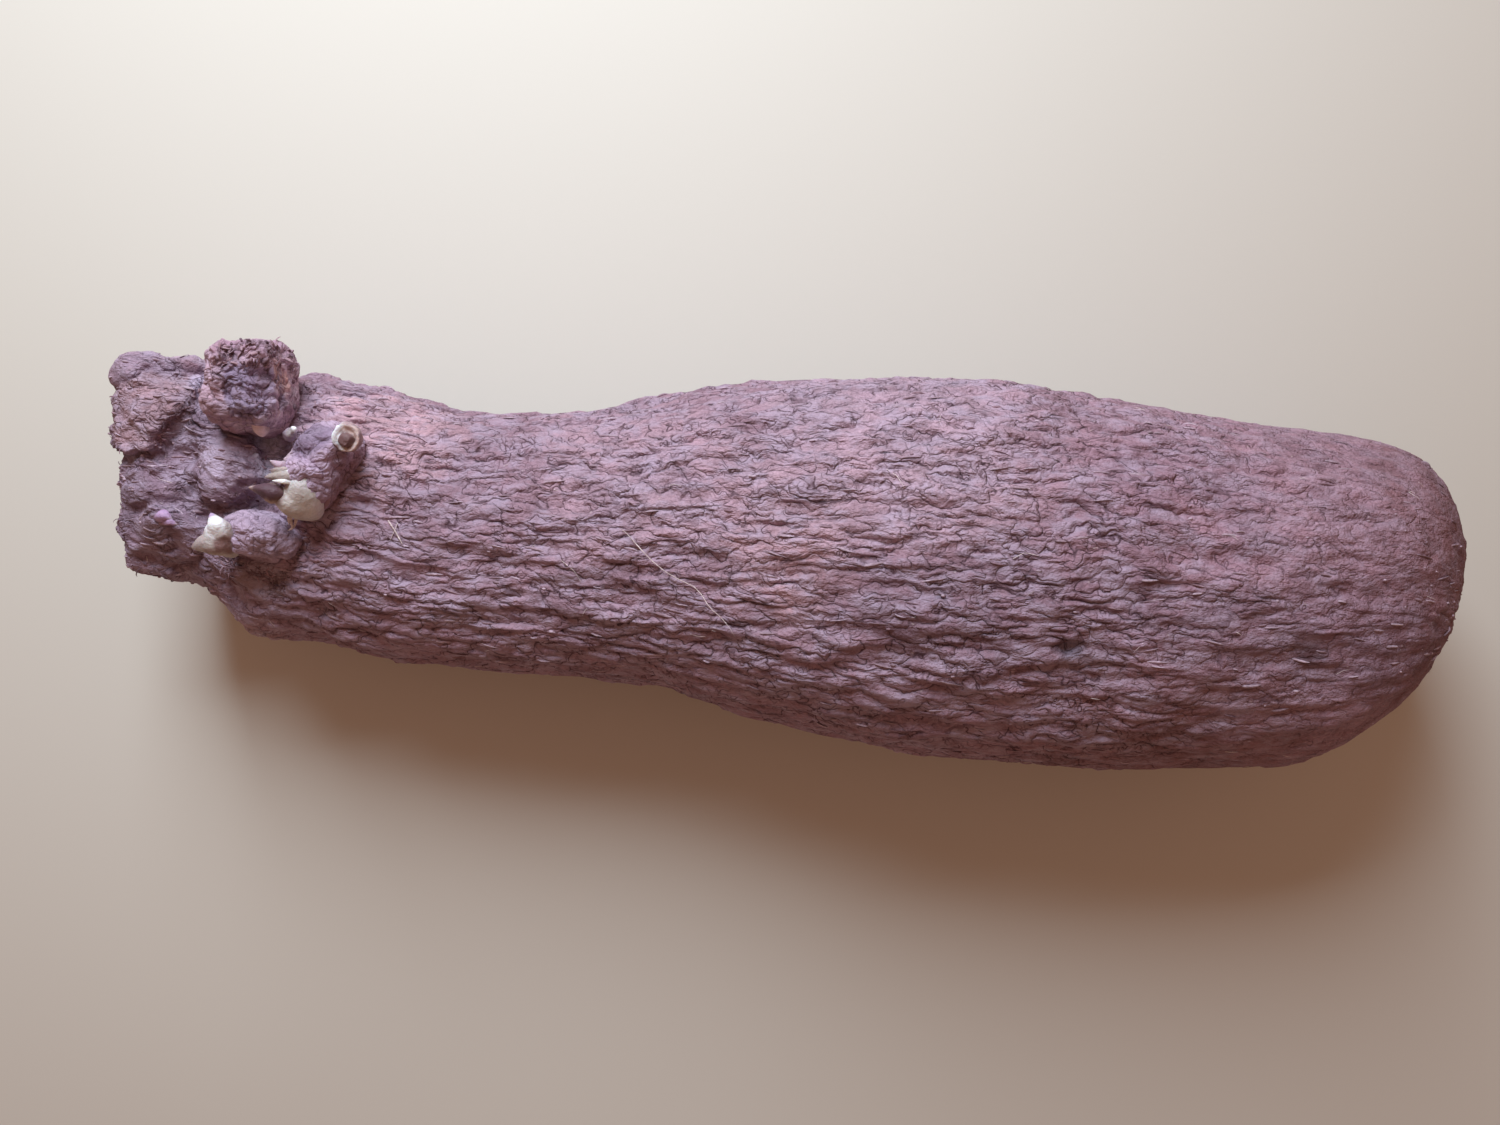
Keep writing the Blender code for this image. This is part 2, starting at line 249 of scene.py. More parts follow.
# %% [markdown]
# ## The bark's pattern
# A yam's bark shrinks as it dries and folds into wavy creases that run along the tuber. They are about
# three millimetres apart, a centimetre or two long, and they fade in and out. Noise that is stretched
# lengthways and folded at its middle value gives rounded folds with sharp creases between them. Noise
# that is added to the place first makes the creases jagged. Three layers of folds, from broad to small,
# lie over each other, and slow noise says where a layer is strong.
#
# The crown is another tissue: crumpled and lumpy in every direction. It has a recipe of its own, and an
# attribute on the mesh says how much of each a place gets.

# %% Folds, for both kinds of tree
# pushes: size of the noise and how far it moves a place, mm
BARK_PUSHES = (((30, 16, 16), (12, 6, 6)), ((4.4, 4.2, 4.2), (2.6, 4.0, 4.0)),
               ((1.4, 1.2, 1.2), (1.0, 0.9, 0.9)))
CROWN_PUSHES = (((9, 9, 9), (8, 8, 8)), ((2.4, 2.2, 2.2), (2.4, 2.4, 2.4)),
                ((1.0, 1.0, 1.0), (0.8, 0.8, 0.8)))
KNOB_PUSHES = (((6, 6, 6), (5, 5, 5)), ((1.6, 1.6, 1.6), (1.3, 1.3, 1.3)))
# a layer of folds: its size in mm, half width of its creases, where it lies in the noise, detail
BARK_BROAD, BARK_MAIN = ((20, 8.5, 8.5), 0.09, 0.0, 1.5), ((10.5, 3.8, 3.8), 0.13, 31.0, 0.0)
BARK_SMALL = ((5.5, 2.0, 2.0), 0.18, 57.0, 0.0)
CROWN_MAIN, CROWN_SMALL = ((10, 5.0, 6), 0.12, 0.0, 0.0), ((4.6, 2.3, 2.8), 0.18, 43.0, 0.0)
KNOB_MAIN, KNOB_SMALL = ((8, 5.5, 6.0), 0.09, 0.0, 0.0), ((3.0, 1.9, 2.3), 0.18, 29.0, 0.0)
FOLD_STEEPNESS, FOLD_ROUNDNESS = 5.5, 0.55


def wander(tree, place, pushes):
    """A place that noise has pushed about, so that what is drawn there runs unevenly."""
    for size, reach in pushes:
        push = calc_vector(tree, "SUBTRACT", clouds(tree, place, size, 1.0, 0.5, "Color"), (0.5, 0.5, 0.5))
        place = calc_vector(tree, "ADD", place, calc_vector(tree, "MULTIPLY", push, reach))
    return place


def folds(tree, place, layer, width):
    """Rounded folds with sharp creases between them: the folds' height, and 1 in a crease."""
    size, half_width, at, detail = layer
    moved = calc_vector(tree, "ADD", place, (at, at * 1.7, at * 2.3))
    wave = calc(tree, "SUBTRACT", clouds(tree, moved, size, detail, 0.45), 0.5)
    wave = calc(tree, "MULTIPLY", calc(tree, "ABSOLUTE", wave), FOLD_STEEPNESS, clamp=True)
    return calc(tree, "POWER", wave, FOLD_ROUNDNESS), ramp(tree, wave, 0.0, half_width * width, 1.0, 0.0)


# %% Bark and crown


def bark_pattern(tree, place, width):
    """The bark's height in millimetres and how deep in a crease a place is. width scales the creases."""
    bent = wander(tree, place, BARK_PUSHES)
    (broad, broad_crease), (main, main_crease), (small, small_crease) = (
        folds(tree, bent, layer, width) for layer in (BARK_BROAD, BARK_MAIN, BARK_SMALL))
    share = ramp(tree, clouds(tree, place, (9, 5, 5), 1.0), 0.38, 0.60, 0.25, 1.0)
    rough = ramp(tree, clouds(tree, place, (26, 15, 15), 1.0), 0.38, 0.60, 0.7, 1.1)
    broken = ramp(tree, clouds(tree, place, (5, 3, 3), 1.0), 0.34, 0.54, 0.1, 1.0)
    lump = calc(tree, "SUBTRACT", clouds(tree, place, (15, 7, 7), 2.0), 0.5)
    height = calc(tree, "MULTIPLY_ADD", lump, 2.0, -1.55)
    height = calc(tree, "MULTIPLY_ADD", calc(tree, "MULTIPLY", main, rough), 1.15, height)
    height = calc(tree, "MULTIPLY_ADD", calc(tree, "MULTIPLY", small, share), 0.70, height)
    height = calc(tree, "MULTIPLY_ADD", broad, 0.35, height)
    crease = calc(tree, "MAXIMUM", main_crease, calc(tree, "MULTIPLY", broad_crease, 0.6))
    fine = calc(tree, "MULTIPLY", small_crease, share)
    crease = calc(tree, "MAXIMUM", crease, calc(tree, "MULTIPLY", fine, 0.8))
    return height, calc(tree, "MULTIPLY", crease, broken)


def crown_pattern(tree, place, width):
    """The crown's crumpled height in millimetres and how deep in a crease a place is."""
    bent = wander(tree, place, CROWN_PUSHES)
    main, main_crease = folds(tree, bent, CROWN_MAIN, width)
    small, small_crease = folds(tree, bent, CROWN_SMALL, width)
    share = ramp(tree, clouds(tree, place, (9, 9, 9), 1.0), 0.42, 0.60, 0.35, 1.0)
    lump = calc(tree, "SUBTRACT", clouds(tree, bent, (6, 4.5, 5), 4.0, 0.6), 0.5)
    height = calc(tree, "MULTIPLY_ADD", lump, 1.6, -0.95)
    height = calc(tree, "MULTIPLY_ADD", calc(tree, "MULTIPLY", main, share), 0.95, height)
    height = calc(tree, "MULTIPLY_ADD", calc(tree, "MULTIPLY", small, share), 0.80, height)
    crease = calc(tree, "MAXIMUM", main_crease, calc(tree, "MULTIPLY", small_crease, 0.8))
    return height, calc(tree, "MULTIPLY", calc(tree, "MULTIPLY", crease, share), 0.8)


def whole_pattern(tree, place, body_share, crown_share, width):
    """Bark and crown together: height in millimetres and depth in a crease, each by its share."""
    bark, bark_crease = bark_pattern(tree, place, width)
    crown, crown_crease = crown_pattern(tree, place, width)
    height = calc(tree, "MULTIPLY_ADD", crown, crown_share, calc(tree, "MULTIPLY", bark, body_share))
    crease = calc(tree, "MULTIPLY", bark_crease, body_share)
    crease = calc(tree, "MULTIPLY_ADD", crown_crease, crown_share, crease)
    return height, crease


# %% [markdown]
# ## The skin's mesh
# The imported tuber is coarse, so the skin is a fine sphere that is drawn onto it. Each point of the sphere
# looks outwards from the tuber's middle line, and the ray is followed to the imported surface. At the two
# ends the rays fan out from one point. The rings are closer together over the crown, where there is more
# to see, and the columns are closer together on top.

# %% Rays from the middle line
SKIN_COLUMNS, SKIN_RINGS = 404, 242
CROWN_FAN, TIP_FAN = 0.030, 0.055      # how far inside each end the rays fan out from
CROWN_REACH = 0.085                    # how far the closer rings go from the crown's end
CROWN_RINGS = 2.6                      # rings are this much closer together over the crown
TOP_COLUMNS = 0.42                     # how much closer the columns are on top than on average
MIDDLE_GUESS = (0.005, 0.040)          # a place inside the tuber, from which its middle line is found
LINE_POINTS = 22
MISSED_RAY = 0.03                      # how far out a point goes if its ray finds nothing, metres
TRIAL_STEPS, TRIAL_ANGLES = 900, (0.2, 1.8, 3.3, 4.9)


def surface_tree(*nodes):
    """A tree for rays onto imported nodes."""
    shape = bmesh.new()
    for name in nodes:
        shape.from_mesh(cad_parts[name].data)
    bmesh.ops.remove_doubles(shape, verts=shape.verts, dist=1e-6)
    tree = BVHTree.FromBMesh(shape)
    shape.free()
    return tree


tuber_tree = surface_tree("tuber")
tuber_low, tuber_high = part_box("tuber")


def middle(x):
    """The middle of the tuber's section at a distance along it."""
    start = Vector((x, *MIDDLE_GUESS))
    left, right, up, down = (tuber_tree.ray_cast(start, Vector(way))[0] for way in
                             ((0, 1, 0), (0, -1, 0), (0, 0, 1), (0, 0, -1)))
    return (left.y + right.y) / 2, (up.z + down.z) / 2


line_x = np.linspace(tuber_low.x + CROWN_FAN, tuber_high.x - TIP_FAN, LINE_POINTS)
line_yz = np.array([middle(x) for x in line_x])


def ray_onto_tuber(travel, angle):
    """Follows the ray at a share of the way from crown to tip (fans included) and an angle from the top."""
    reach = line_x[-1] - line_x[0]
    fan = min(1.0, max(0.0, 1 - travel * 3)) - min(1.0, max(0.0, travel * 3 - 2))
    x = line_x[0] + reach * min(1.0, max(0.0, travel * 3 - 1))
    y, z = (float(np.interp(x, line_x, line_yz[:, k])) for k in (0, 1))
    lean = fan * math.pi / 2
    across = Vector((0, math.sin(angle), math.cos(angle)))
    way = across * math.cos(lean) + Vector((-math.sin(lean), 0, 0))
    start = Vector((x, y, z))
    found = tuber_tree.ray_cast(start, way)[0]
    return found if found is not None else start + way * MISSED_RAY


def even_travels():
    """Shares of the way at which the rings lie, even along the surface and closer over the crown."""
    steps = np.linspace(0.0, 1.0, TRIAL_STEPS)
    total = np.zeros(len(steps) - 1)
    for angle in TRIAL_ANGLES:
        line = np.array([ray_onto_tuber(step, angle) for step in steps])
        length = np.linalg.norm(np.diff(line, axis=0), axis=1)
        total += length * np.where(line[1:, 0] < tuber_low.x + CROWN_REACH, CROWN_RINGS, 1.0)
    travelled = np.concatenate([[0.0], np.cumsum(total)])
    return np.interp(np.linspace(0, travelled[-1], SKIN_RINGS + 1), travelled, steps)


# %% Draw the sphere onto the tuber
SMOOTH_PASSES = 9
BELLY = 0.4                 # points lower than this lie on the table and stay there, mm


def soften(shape, points, passes):
    """Evens out some points of a bmesh."""
    for _ in range(passes):
        bmesh.ops.smooth_vert(shape, verts=points, factor=0.5,
                              use_axis_x=True, use_axis_y=True, use_axis_z=True)


travels = even_travels()
skin_shape = bmesh.new()
bmesh.ops.create_uvsphere(skin_shape, u_segments=SKIN_COLUMNS, v_segments=SKIN_RINGS, radius=1.0)
for vertex in skin_shape.verts:
    ring = math.acos(max(-1.0, min(1.0, vertex.co.z))) / math.pi * SKIN_RINGS
    column = math.atan2(vertex.co.y, vertex.co.x)
    angle = column - TOP_COLUMNS * math.sin(column)
    vertex.co = ray_onto_tuber(travels[int(round(ring))], angle)
soften(skin_shape, [vertex for vertex in skin_shape.verts if vertex.co.z > BELLY * MM], SMOOTH_PASSES)
bmesh.ops.recalc_face_normals(skin_shape, faces=skin_shape.faces)
print("skin:", len(skin_shape.verts), "points,", len(skin_shape.faces), "faces")

# %% A mesh with arrays


def make_object(name, shape):
    """Turns a bmesh in metres into an object at the origin."""
    mesh = bpy.data.meshes.new(name)
    shape.to_mesh(mesh)
    shape.free()
    mesh.shade_smooth()
    made = bpy.data.objects.new(name, mesh)
    bpy.context.scene.collection.objects.link(made)
    return made


def read_array(items, key, width):
    """One value of every item, as an array."""
    flat = np.zeros(len(items) * width, np.float32)
    items.foreach_get(key, flat)
    return flat.reshape(-1, width).astype(float)


def places_of(mesh):
    """The points of a mesh as an array."""
    return read_array(mesh.vertices, "co", 3)


def normals_of(mesh):
    """The outward directions at the points of a mesh as an array."""
    return read_array(mesh.vertex_normals, "vector", 3)


def layer_of(mesh, name):
    """One number for each point of a mesh, from the layer that keeps it."""
    return read_array(mesh.attributes[name].data, "value", 1)[:, 0]


def write_vectors(mesh, name, values):
    """Stores three numbers for each point of a mesh."""
    layer = mesh.attributes.new(name, "FLOAT_VECTOR", "POINT")
    layer.data.foreach_set("vector", values.astype(np.float32).ravel())


def write_tint(mesh, colour):
    """Stores a colour for each point of a mesh."""
    opaque = np.concatenate([colour, np.ones((len(colour), 1))], axis=1)
    layer = mesh.attributes.new("tint", "FLOAT_COLOR", "POINT")
    layer.data.foreach_set("color", opaque.astype(np.float32).ravel())


def one_colour(colour, count):
    """The same colour for a number of points."""
    return np.tile(np.array(colour, float), (count, 1))


def uneven_at(places, size):
    """Smooth noise of a size at each place, from about -1 to 1."""
    return np.array([noise.noise(Vector(place) / size) for place in places])


def lay_over(colours, shade, share):
    """Lays a shade over the colours of points, by each point's share of it."""
    colours += (np.array(shade) - colours) * share[:, None]


def step(low, high, value):
    """0 below low, 1 above high and a smooth ramp between, on arrays."""
    share = np.clip((value - low) / (high - low), 0, 1)
    return share * share * (3 - 2 * share)


skin = make_object("tuber_skin", skin_shape)

# %% [markdown]
# ## Sculpting by strokes
# The photograph shows folds, torn edges and hollows that no noise would put in the right place. They
# are drawn as strokes: a few pixels along each fold, its width, and how far it stands out or sinks in.
# Every point of the skin that faces up is looked up in the photograph, and is moved along its own
# normal by the strokes near it.

# %% Strokes on the crown and the body
# name: points in the photo, half width in pixels, height in millimetres
STROKES = {
    "gap_right_of_boss": ([(262, 432), (268, 462), (264, 500)], 7, -1.6),
    "gap_below_boss": ([(258, 506), (235, 512), (208, 508)], 5, -2.2),
    "gap_below_stump": ([(210, 424), (232, 430), (258, 441)], 5, -1.6),
    "gap_left_of_stump": ([(204, 350), (203, 385), (206, 418)], 4, -1.2),
    "boss_left_fold": ([(192, 448), (186, 470), (193, 492)], 4, -1.3),
    "torn_plate_hollow": ([(158, 440), (170, 452), (186, 455)], 5, -1.4),
    "plate_shadow": ([(208, 390), (197, 409), (181, 423), (168, 441), (160, 454)], 3.5, -1.5),
    "nub_fold": ([(112, 392), (128, 384), (142, 372)], 4, -1.8),
    "left_fold": ([(120, 462), (142, 452), (160, 456)], 4, -1.2),
    "bud_boss_fold": ([(130, 512), (150, 500), (175, 502), (196, 514)], 5, -1.9),
    "bud_boss_right": ([(200, 516), (204, 540), (196, 566)], 5, -1.6),
    "bud_boss_below": ([(140, 556), (160, 568), (186, 570)], 5, -1.5),
    "peeled_wrinkle_1": ([(240, 462), (252, 458), (262, 462)], 2, -0.8),
    "peeled_wrinkle_2": ([(238, 473), (250, 468), (262, 474)], 2, -0.9),
    "peeled_wrinkle_3": ([(242, 484), (252, 480), (260, 485)], 2, -0.8),
    "boss_band_edge": ([(203, 470), (210, 480), (222, 484)], 3, -0.7),
    "rim_boss": ([(190, 362), (202, 363)], 7, 1.7),
    "rim_bead": ([(170, 363), (176, 364)], 4, 1.0),
    "rim_fold": ([(138, 366), (160, 368), (184, 371), (200, 374)], 3, -1.0),
    "neck_bump_1": ([(426, 404), (440, 405)], 8, 1.5),
    "neck_bump_2": ([(474, 406), (486, 407)], 8, 1.3),
    "neck_bump_3": ([(560, 402), (574, 403)], 9, 1.3),
    "shoulder_bump": ([(316, 371), (324, 372)], 7, 1.6),
    "shoulder_fold": ([(322, 384), (345, 392), (372, 396)], 3, -1.0),
    "neck_fold_1": ([(366, 452), (392, 470), (420, 486)], 4, -1.5),
    "neck_fold_2": ([(352, 500), (384, 512), (420, 520)], 4, -1.2),
    "notch_fold": ([(222, 585), (240, 602), (262, 612)], 6, -1.6),
    "fibrous_hollow": ([(258, 575), (280, 582)], 11, -1.4),
    "neck_dent": ([(432, 462), (444, 474)], 9, -1.8),
    "waist_crease": ([(637, 436), (634, 462), (641, 484)], 3, -1.0),
    "long_crease_1": ([(860, 560), (905, 552), (950, 546), (985, 552)], 3, -0.8),
    "long_crease_2": ([(1010, 678), (1040, 668), (1066, 668), (1100, 682)], 3, -1.1),
    "rot_pit": ([(1064, 650), (1073, 647)], 5, -2.6),
    "tip_dent": ([(1296, 656), (1316, 654)], 9, -1.8),
}
# name: outline in the photo's pixels, softness of its edge in pixels, height in millimetres
PLATES = {
    "torn_plate": ([(106, 398), (122, 384), (150, 372), (182, 376), (202, 376), (203, 388), (190, 404), (174, 417),
                    (163, 434), (153, 449), (132, 452), (116, 446)], 1.4, 2.2),
    "peeled_layer": ([(226, 449), (240, 445), (258, 447), (264, 470), (257, 492), (246, 490), (238, 500), (229, 498),
                      (229, 484), (226, 470)], 1.5, 0.9),
    "low_layer": ([(150, 470), (176, 462), (190, 474), (186, 494), (160, 498), (140, 488)], 2.0, 0.8),
}
STROKE_FACING = 0.05


def distance_to_line(points, line):
    """Distance of points from a line through a few places, in the plane of the photo."""
    best = np.full(len(points), np.inf)
    for start, end in zip(line[:-1], line[1:]):
        start, along = np.array(start, float), np.array(end, float) - np.array(start, float)
        share = np.clip((points - start) @ along / (along @ along), 0, 1)
        best = np.minimum(best, np.linalg.norm(points - start - share[:, None] * along, axis=1))
    return best


def ragged_pixels(places, reach=3.0, size=2.2):
    """Pixels of points, pushed about by noise, so that an edge drawn with them looks torn."""
    push = np.array([noise.noise_vector(Vector(place) / (size * MM)) for place in places])
    return to_pixels(places) + push[:, :2] * reach


def inside(pixels, outline, edge):
    """1 inside an outline in the photo and 0 outside it, with a soft edge in pixels."""
    within = np.zeros(len(pixels), bool)
    for (x0, y0), (x1, y1) in zip(outline, [*outline[1:], outline[0]]):
        if y0 != y1:
            across = (x1 - x0) * (pixels[:, 1] - y0) / (y1 - y0) + x0
            within ^= ((y0 > pixels[:, 1]) != (y1 > pixels[:, 1])) & (pixels[:, 0] < across)
    away = distance_to_line(pixels, [*outline, outline[0]])
    return step(-edge, edge, np.where(within, away, -away))


def sculpt(mesh, strokes, plates):
    """Moves the points of a mesh along their normals by the strokes near them and the plates over them."""
    places, ways = places_of(mesh), normals_of(mesh)
    pixels, ragged = to_pixels(places), ragged_pixels(places)
    height = np.zeros(len(places))
    for line, half_width, raised in strokes.values():
        height += raised * np.exp(-(distance_to_line(pixels, line) / half_width) ** 2)
    for outline, edge, raised in plates.values():
        height += raised * inside(ragged, outline, edge)
    height *= step(STROKE_FACING, 0.4, ways[:, 2])
    mesh.vertices.foreach_set("co", (places + ways * height[:, None] * MM).astype(np.float32).ravel())
    mesh.update()


sculpt(skin.data, STROKES, PLATES)

# %% [markdown]
# ## Wrinkling the skin
# The place of each point before it is wrinkled is kept as an attribute, and both trees read it, so that
# the pattern in the colour lies exactly in the creases of the mesh. A second attribute says how much
# bark, crown and dust with its painted highlight there is. The geometry tree then moves every point along
# its normal, and the result is kept as a plain mesh.

# %% How much of each pattern
CROWN_END = (-0.158, -0.128)
TIP_CALM = (0.07, 0.185)
# bosses of the crown that are smoother than the rest, by their outlines in the photo's pixels
CALM_BOSSES = [
    [(204, 452), (220, 440), (240, 440), (240, 450), (230, 452), (228, 496), (244, 503), (222, 504), (200, 492)],
    [(103, 374), (112, 358), (134, 353), (142, 364), (128, 380), (110, 390)],
    [(180, 358), (206, 356), (208, 370), (184, 370)],
    [(136, 524), (150, 516), (152, 552), (136, 548)],
]
CALM = 0.75
places = places_of(skin.data)
crown_share = 1 - step(*CROWN_END, places[:, 0] + 0.25 * (places[:, 2] - 0.06))
tip_share = step(*TIP_CALM, places[:, 0])
lifted = step(0.0005, 0.006, places[:, 2])
body_share = (1 - crown_share) * (1 - 0.55 * tip_share) * lifted
calm_pixels = to_pixels(places)
for outline in CALM_BOSSES:
    crown_share = crown_share * (1 - CALM * inside(calm_pixels, outline, 6.0) * (places[:, 2] > 0.03))
write_vectors(skin.data, "bark_place", places / MM)
write_vectors(skin.data, "bark_share",
              np.stack([body_share, crown_share * lifted, 1 - 0.6 * tip_share], axis=1))

# %% Move the mesh by the pattern


def wrinkle(obj, recipe):
    """Moves a mesh by a geometry tree that a recipe fills, and keeps the result as its mesh."""
    tree = bpy.data.node_groups.new(obj.name + "_relief", "GeometryNodeTree")
    tree.interface.new_socket("Geometry", in_out="INPUT", socket_type="NodeSocketGeometry")
    tree.interface.new_socket("Geometry", in_out="OUTPUT", socket_type="NodeSocketGeometry")
    start, end = tree.nodes.new("NodeGroupInput"), tree.nodes.new("NodeGroupOutput")

    def read(name):
        node = tree.nodes.new("GeometryNodeInputNamedAttribute")
        node.data_type = "FLOAT_VECTOR"
        node.inputs["Name"].default_value = name
        return node.outputs["Attribute"]

    move = tree.nodes.new("GeometryNodeSetPosition")
    outward = tree.nodes.new("GeometryNodeInputNormal").outputs["Normal"]
    height = calc(tree, "MULTIPLY", recipe(tree, read), MM)
    tree.links.new(start.outputs[0], move.inputs["Geometry"])
    tree.links.new(scaled(tree, outward, height), move.inputs["Offset"])
    tree.links.new(move.outputs[0], end.inputs[0])
    obj.modifiers.new("relief", "NODES").node_group = tree
    made = bpy.data.meshes.new_from_object(obj.evaluated_get(bpy.context.evaluated_depsgraph_get()))
    obj.modifiers.clear()
    obj.data = made
    made.name = obj.name


SKIN_CREASES = 1.7          # how much wider the creases are in the skin's mesh than in its colour


def skin_recipe(tree, read):
    """The skin's height in millimetres, with creases wide enough for the mesh."""
    share = parts_of(tree, read("bark_share"))
    return whole_pattern(tree, read("bark_place"), share[0], share[1], SKIN_CREASES)[0]


wrinkle(skin, skin_recipe)
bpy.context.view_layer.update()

# %% [markdown]
# ## Bark material
# Three things make the colour: a slow change of hue from place to place, which is painted on the points
# as a tint along with some painted light and shade, pale dust on the plates, which also paints a highlight
# on them, and painted shade in the creases. The finest wrinkles are a bump from the same pattern, with
# narrower creases than the mesh can hold.

# %% Tints of the skin
BARK = (0.372, 0.226, 0.285)
# name: pixel of the photo, height in mm, radius in mm, colour, strength
TINTS = {
    "crown": ((190, 470), 65, 42, (0.275, 0.180, 0.240), 0.9),
    "neck_top": ((380, 412), 75, 24, (0.600, 0.370, 0.430), 0.9),
    "neck_red": ((470, 500), 88, 7, (0.470, 0.270, 0.310), 0.7),
    "lilac_waist": ((655, 450), 92, 12, (0.430, 0.350, 0.500), 0.7),
    "neck_dusk": ((590, 480), 92, 14, (0.300, 0.200, 0.280), 0.6),
    "brown_middle": ((785, 560), 100, 18, (0.520, 0.300, 0.335), 0.7),
    "peach_spot": ((830, 497), 100, 4, (0.560, 0.340, 0.350), 0.7),
    "orange_spot": ((1180, 540), 96, 12, (0.400, 0.190, 0.210), 0.85),
    "lilac_far": ((1180, 500), 98, 26, (0.350, 0.230, 0.320), 0.5),
    "upper_edge": ((900, 400), 84, 40, (0.540, 0.370, 0.460), 0.7),
    "far_red": ((1230, 560), 90, 70, (0.390, 0.215, 0.270), 0.5),
    "tip_brown": ((1430, 590), 66, 42, (0.250, 0.120, 0.135), 0.85),
    # painted shade, darker and redder on the lower flank away from the window
    "low_side": ((1150, 735), 62, 46, (0.250, 0.125, 0.130), 0.6),
    # painted shade in the deep gap beside the boss
    "boss_gap_painted_shade": ((266, 462), 64, 9, (0.240, 0.170, 0.250), 0.9),
    "rim_mauve": ((140, 362), 58, 12, (0.420, 0.290, 0.380), 0.8),
    # painted light that lifts the shade below the low knob
    "neck_foot_painted_light": ((262, 622), 45, 14, (0.560, 0.380, 0.430), 0.7),
    "boss_light": ((226, 464), 72, 8, (0.440, 0.310, 0.400), 0.6),
    "flake_orange": ((312, 410), 78, 4, (0.480, 0.280, 0.320), 0.8),
}
# name: outline in the photo's pixels, softness of its edge in pixels, colour, strength
PATCHES = {
    # painted light on the upper flank, which faces the window
    "upper_painted_light": ([(540, 425), (690, 410), (770, 450), (1000, 435), (1050, 500), (980, 545), (760, 548),
                     (560, 560)], 22.0, (0.540, 0.350, 0.425), 0.55),
    # painted shade on the band below the middle, where the flank turns away from the window
    "middle_painted_shade": ([(800, 568), (1000, 558), (1110, 562), (1200, 590), (1400, 590), (1450, 640), (1400, 695),
                     (1150, 655), (980, 690), (880, 650)], 20.0, (0.205, 0.116, 0.150), 0.50),
    "torn_plate": (PLATES["torn_plate"][0], 2.0, (0.460, 0.285, 0.325), 0.8),
    # painted shadow along the torn plate's edge
    "plate_edge_painted_shadow": ([(200, 376), (206, 388), (192, 408), (176, 422), (160, 442), (154, 436), (172, 414), (188, 402)],
                   2.0, (0.240, 0.125, 0.140), 0.8),
    # darker purple and painted shade in the hollow beside the torn plate
    "below_plate_purple_and_shade": ([(208, 394), (204, 424), (194, 446), (176, 456), (158, 462), (166, 442), (182, 424),
                     (198, 410)], 3.0, (0.250, 0.165, 0.220), 0.7),
    "boss_lilac_band": ([(200, 452), (220, 440), (244, 440), (246, 448), (230, 452), (227, 470), (217, 480),
                         (206, 472)], 4.0, (0.620, 0.500, 0.660), 0.85),
    "peeled_layer": (PLATES["peeled_layer"][0], 2.0, (0.300, 0.190, 0.240), 0.85),
    # painted shade in the gap at the boss's foot
    "boss_foot_painted_shade": ([(204, 495), (228, 501), (256, 494), (258, 508), (230, 513), (206, 508)], 3.0,
                  (0.200, 0.110, 0.135), 0.8),
    # painted light that lifts the shade on the up-facing parts of the gap beside the boss
    "boss_gap_painted_light": ([(252, 432), (278, 434), (284, 448), (272, 470), (268, 500), (254, 506), (262, 478), (256, 452)], 4.0,
            (0.700, 0.640, 0.780), 0.95),
    "fibrous_patch": ([(232, 560), (262, 562), (290, 572), (286, 596), (256, 598), (234, 580)], 5.0,
                      (0.330, 0.225, 0.240), 0.8),
    # colours the sunken pit near-black
    "rot_pit": ([(1056, 644), (1072, 638), (1084, 646), (1078, 658), (1062, 659)], 2.0,
                (0.050, 0.026, 0.035), 0.95),
    "tip_dent": ([(1290, 648), (1312, 643), (1328, 652), (1320, 665), (1296, 665)], 4.0,
                 (0.110, 0.052, 0.058), 0.9),
    "lilac_corner": ([(188, 378), (204, 374), (207, 388), (196, 396)], 3.0, (0.540, 0.450, 0.620), 0.8),
}
TINT_EDGE = 6.0             # size of the noise that breaks up a tint's edge, mm
TINT_FADE, TINT_RAGGED = (0.55, 1.25), 0.45     # where a tint fades, in radii, and how raggedly


def paint_tints(mesh, base, tints, patches):
    """Paints soft tints and outlined patches onto the points of a mesh, and stores them as its tint."""
    places = places_of(mesh) / MM
    colour = one_colour(base, len(places))
    ragged = uneven_at(places, TINT_EDGE)
    for pixel, height, radius, shade, strength in tints.values():
        away = np.linalg.norm(places - np.array(seen(*pixel, height)) / MM, axis=1) / radius
        lay_over(colour, shade, strength * (1 - step(*TINT_FADE, away + TINT_RAGGED * ragged)))
    pixels, up = ragged_pixels(places * MM), step(0.0, 0.3, normals_of(mesh)[:, 2])
    for outline, edge, shade, strength in patches.values():
        lay_over(colour, shade, strength * up * inside(pixels, outline, edge))
    write_tint(mesh, colour)


paint_tints(skin.data, BARK, TINTS, PATCHES)

# %% Shared effects as shader groups


def shader_group(name, inputs, outputs):
    """An empty shader group with named sockets. inputs: name, kind, value."""
    group = bpy.data.node_groups.new(name, "ShaderNodeTree")
    for socket, kind, value in inputs:
        made = group.interface.new_socket(socket, in_out="INPUT", socket_type="NodeSocket" + kind)
        if value is not None:
            made.default_value = value
    for socket, kind in outputs:
        group.interface.new_socket(socket, in_out="OUTPUT", socket_type="NodeSocket" + kind)
    return group, group.nodes.new("NodeGroupInput"), group.nodes.new("NodeGroupOutput")


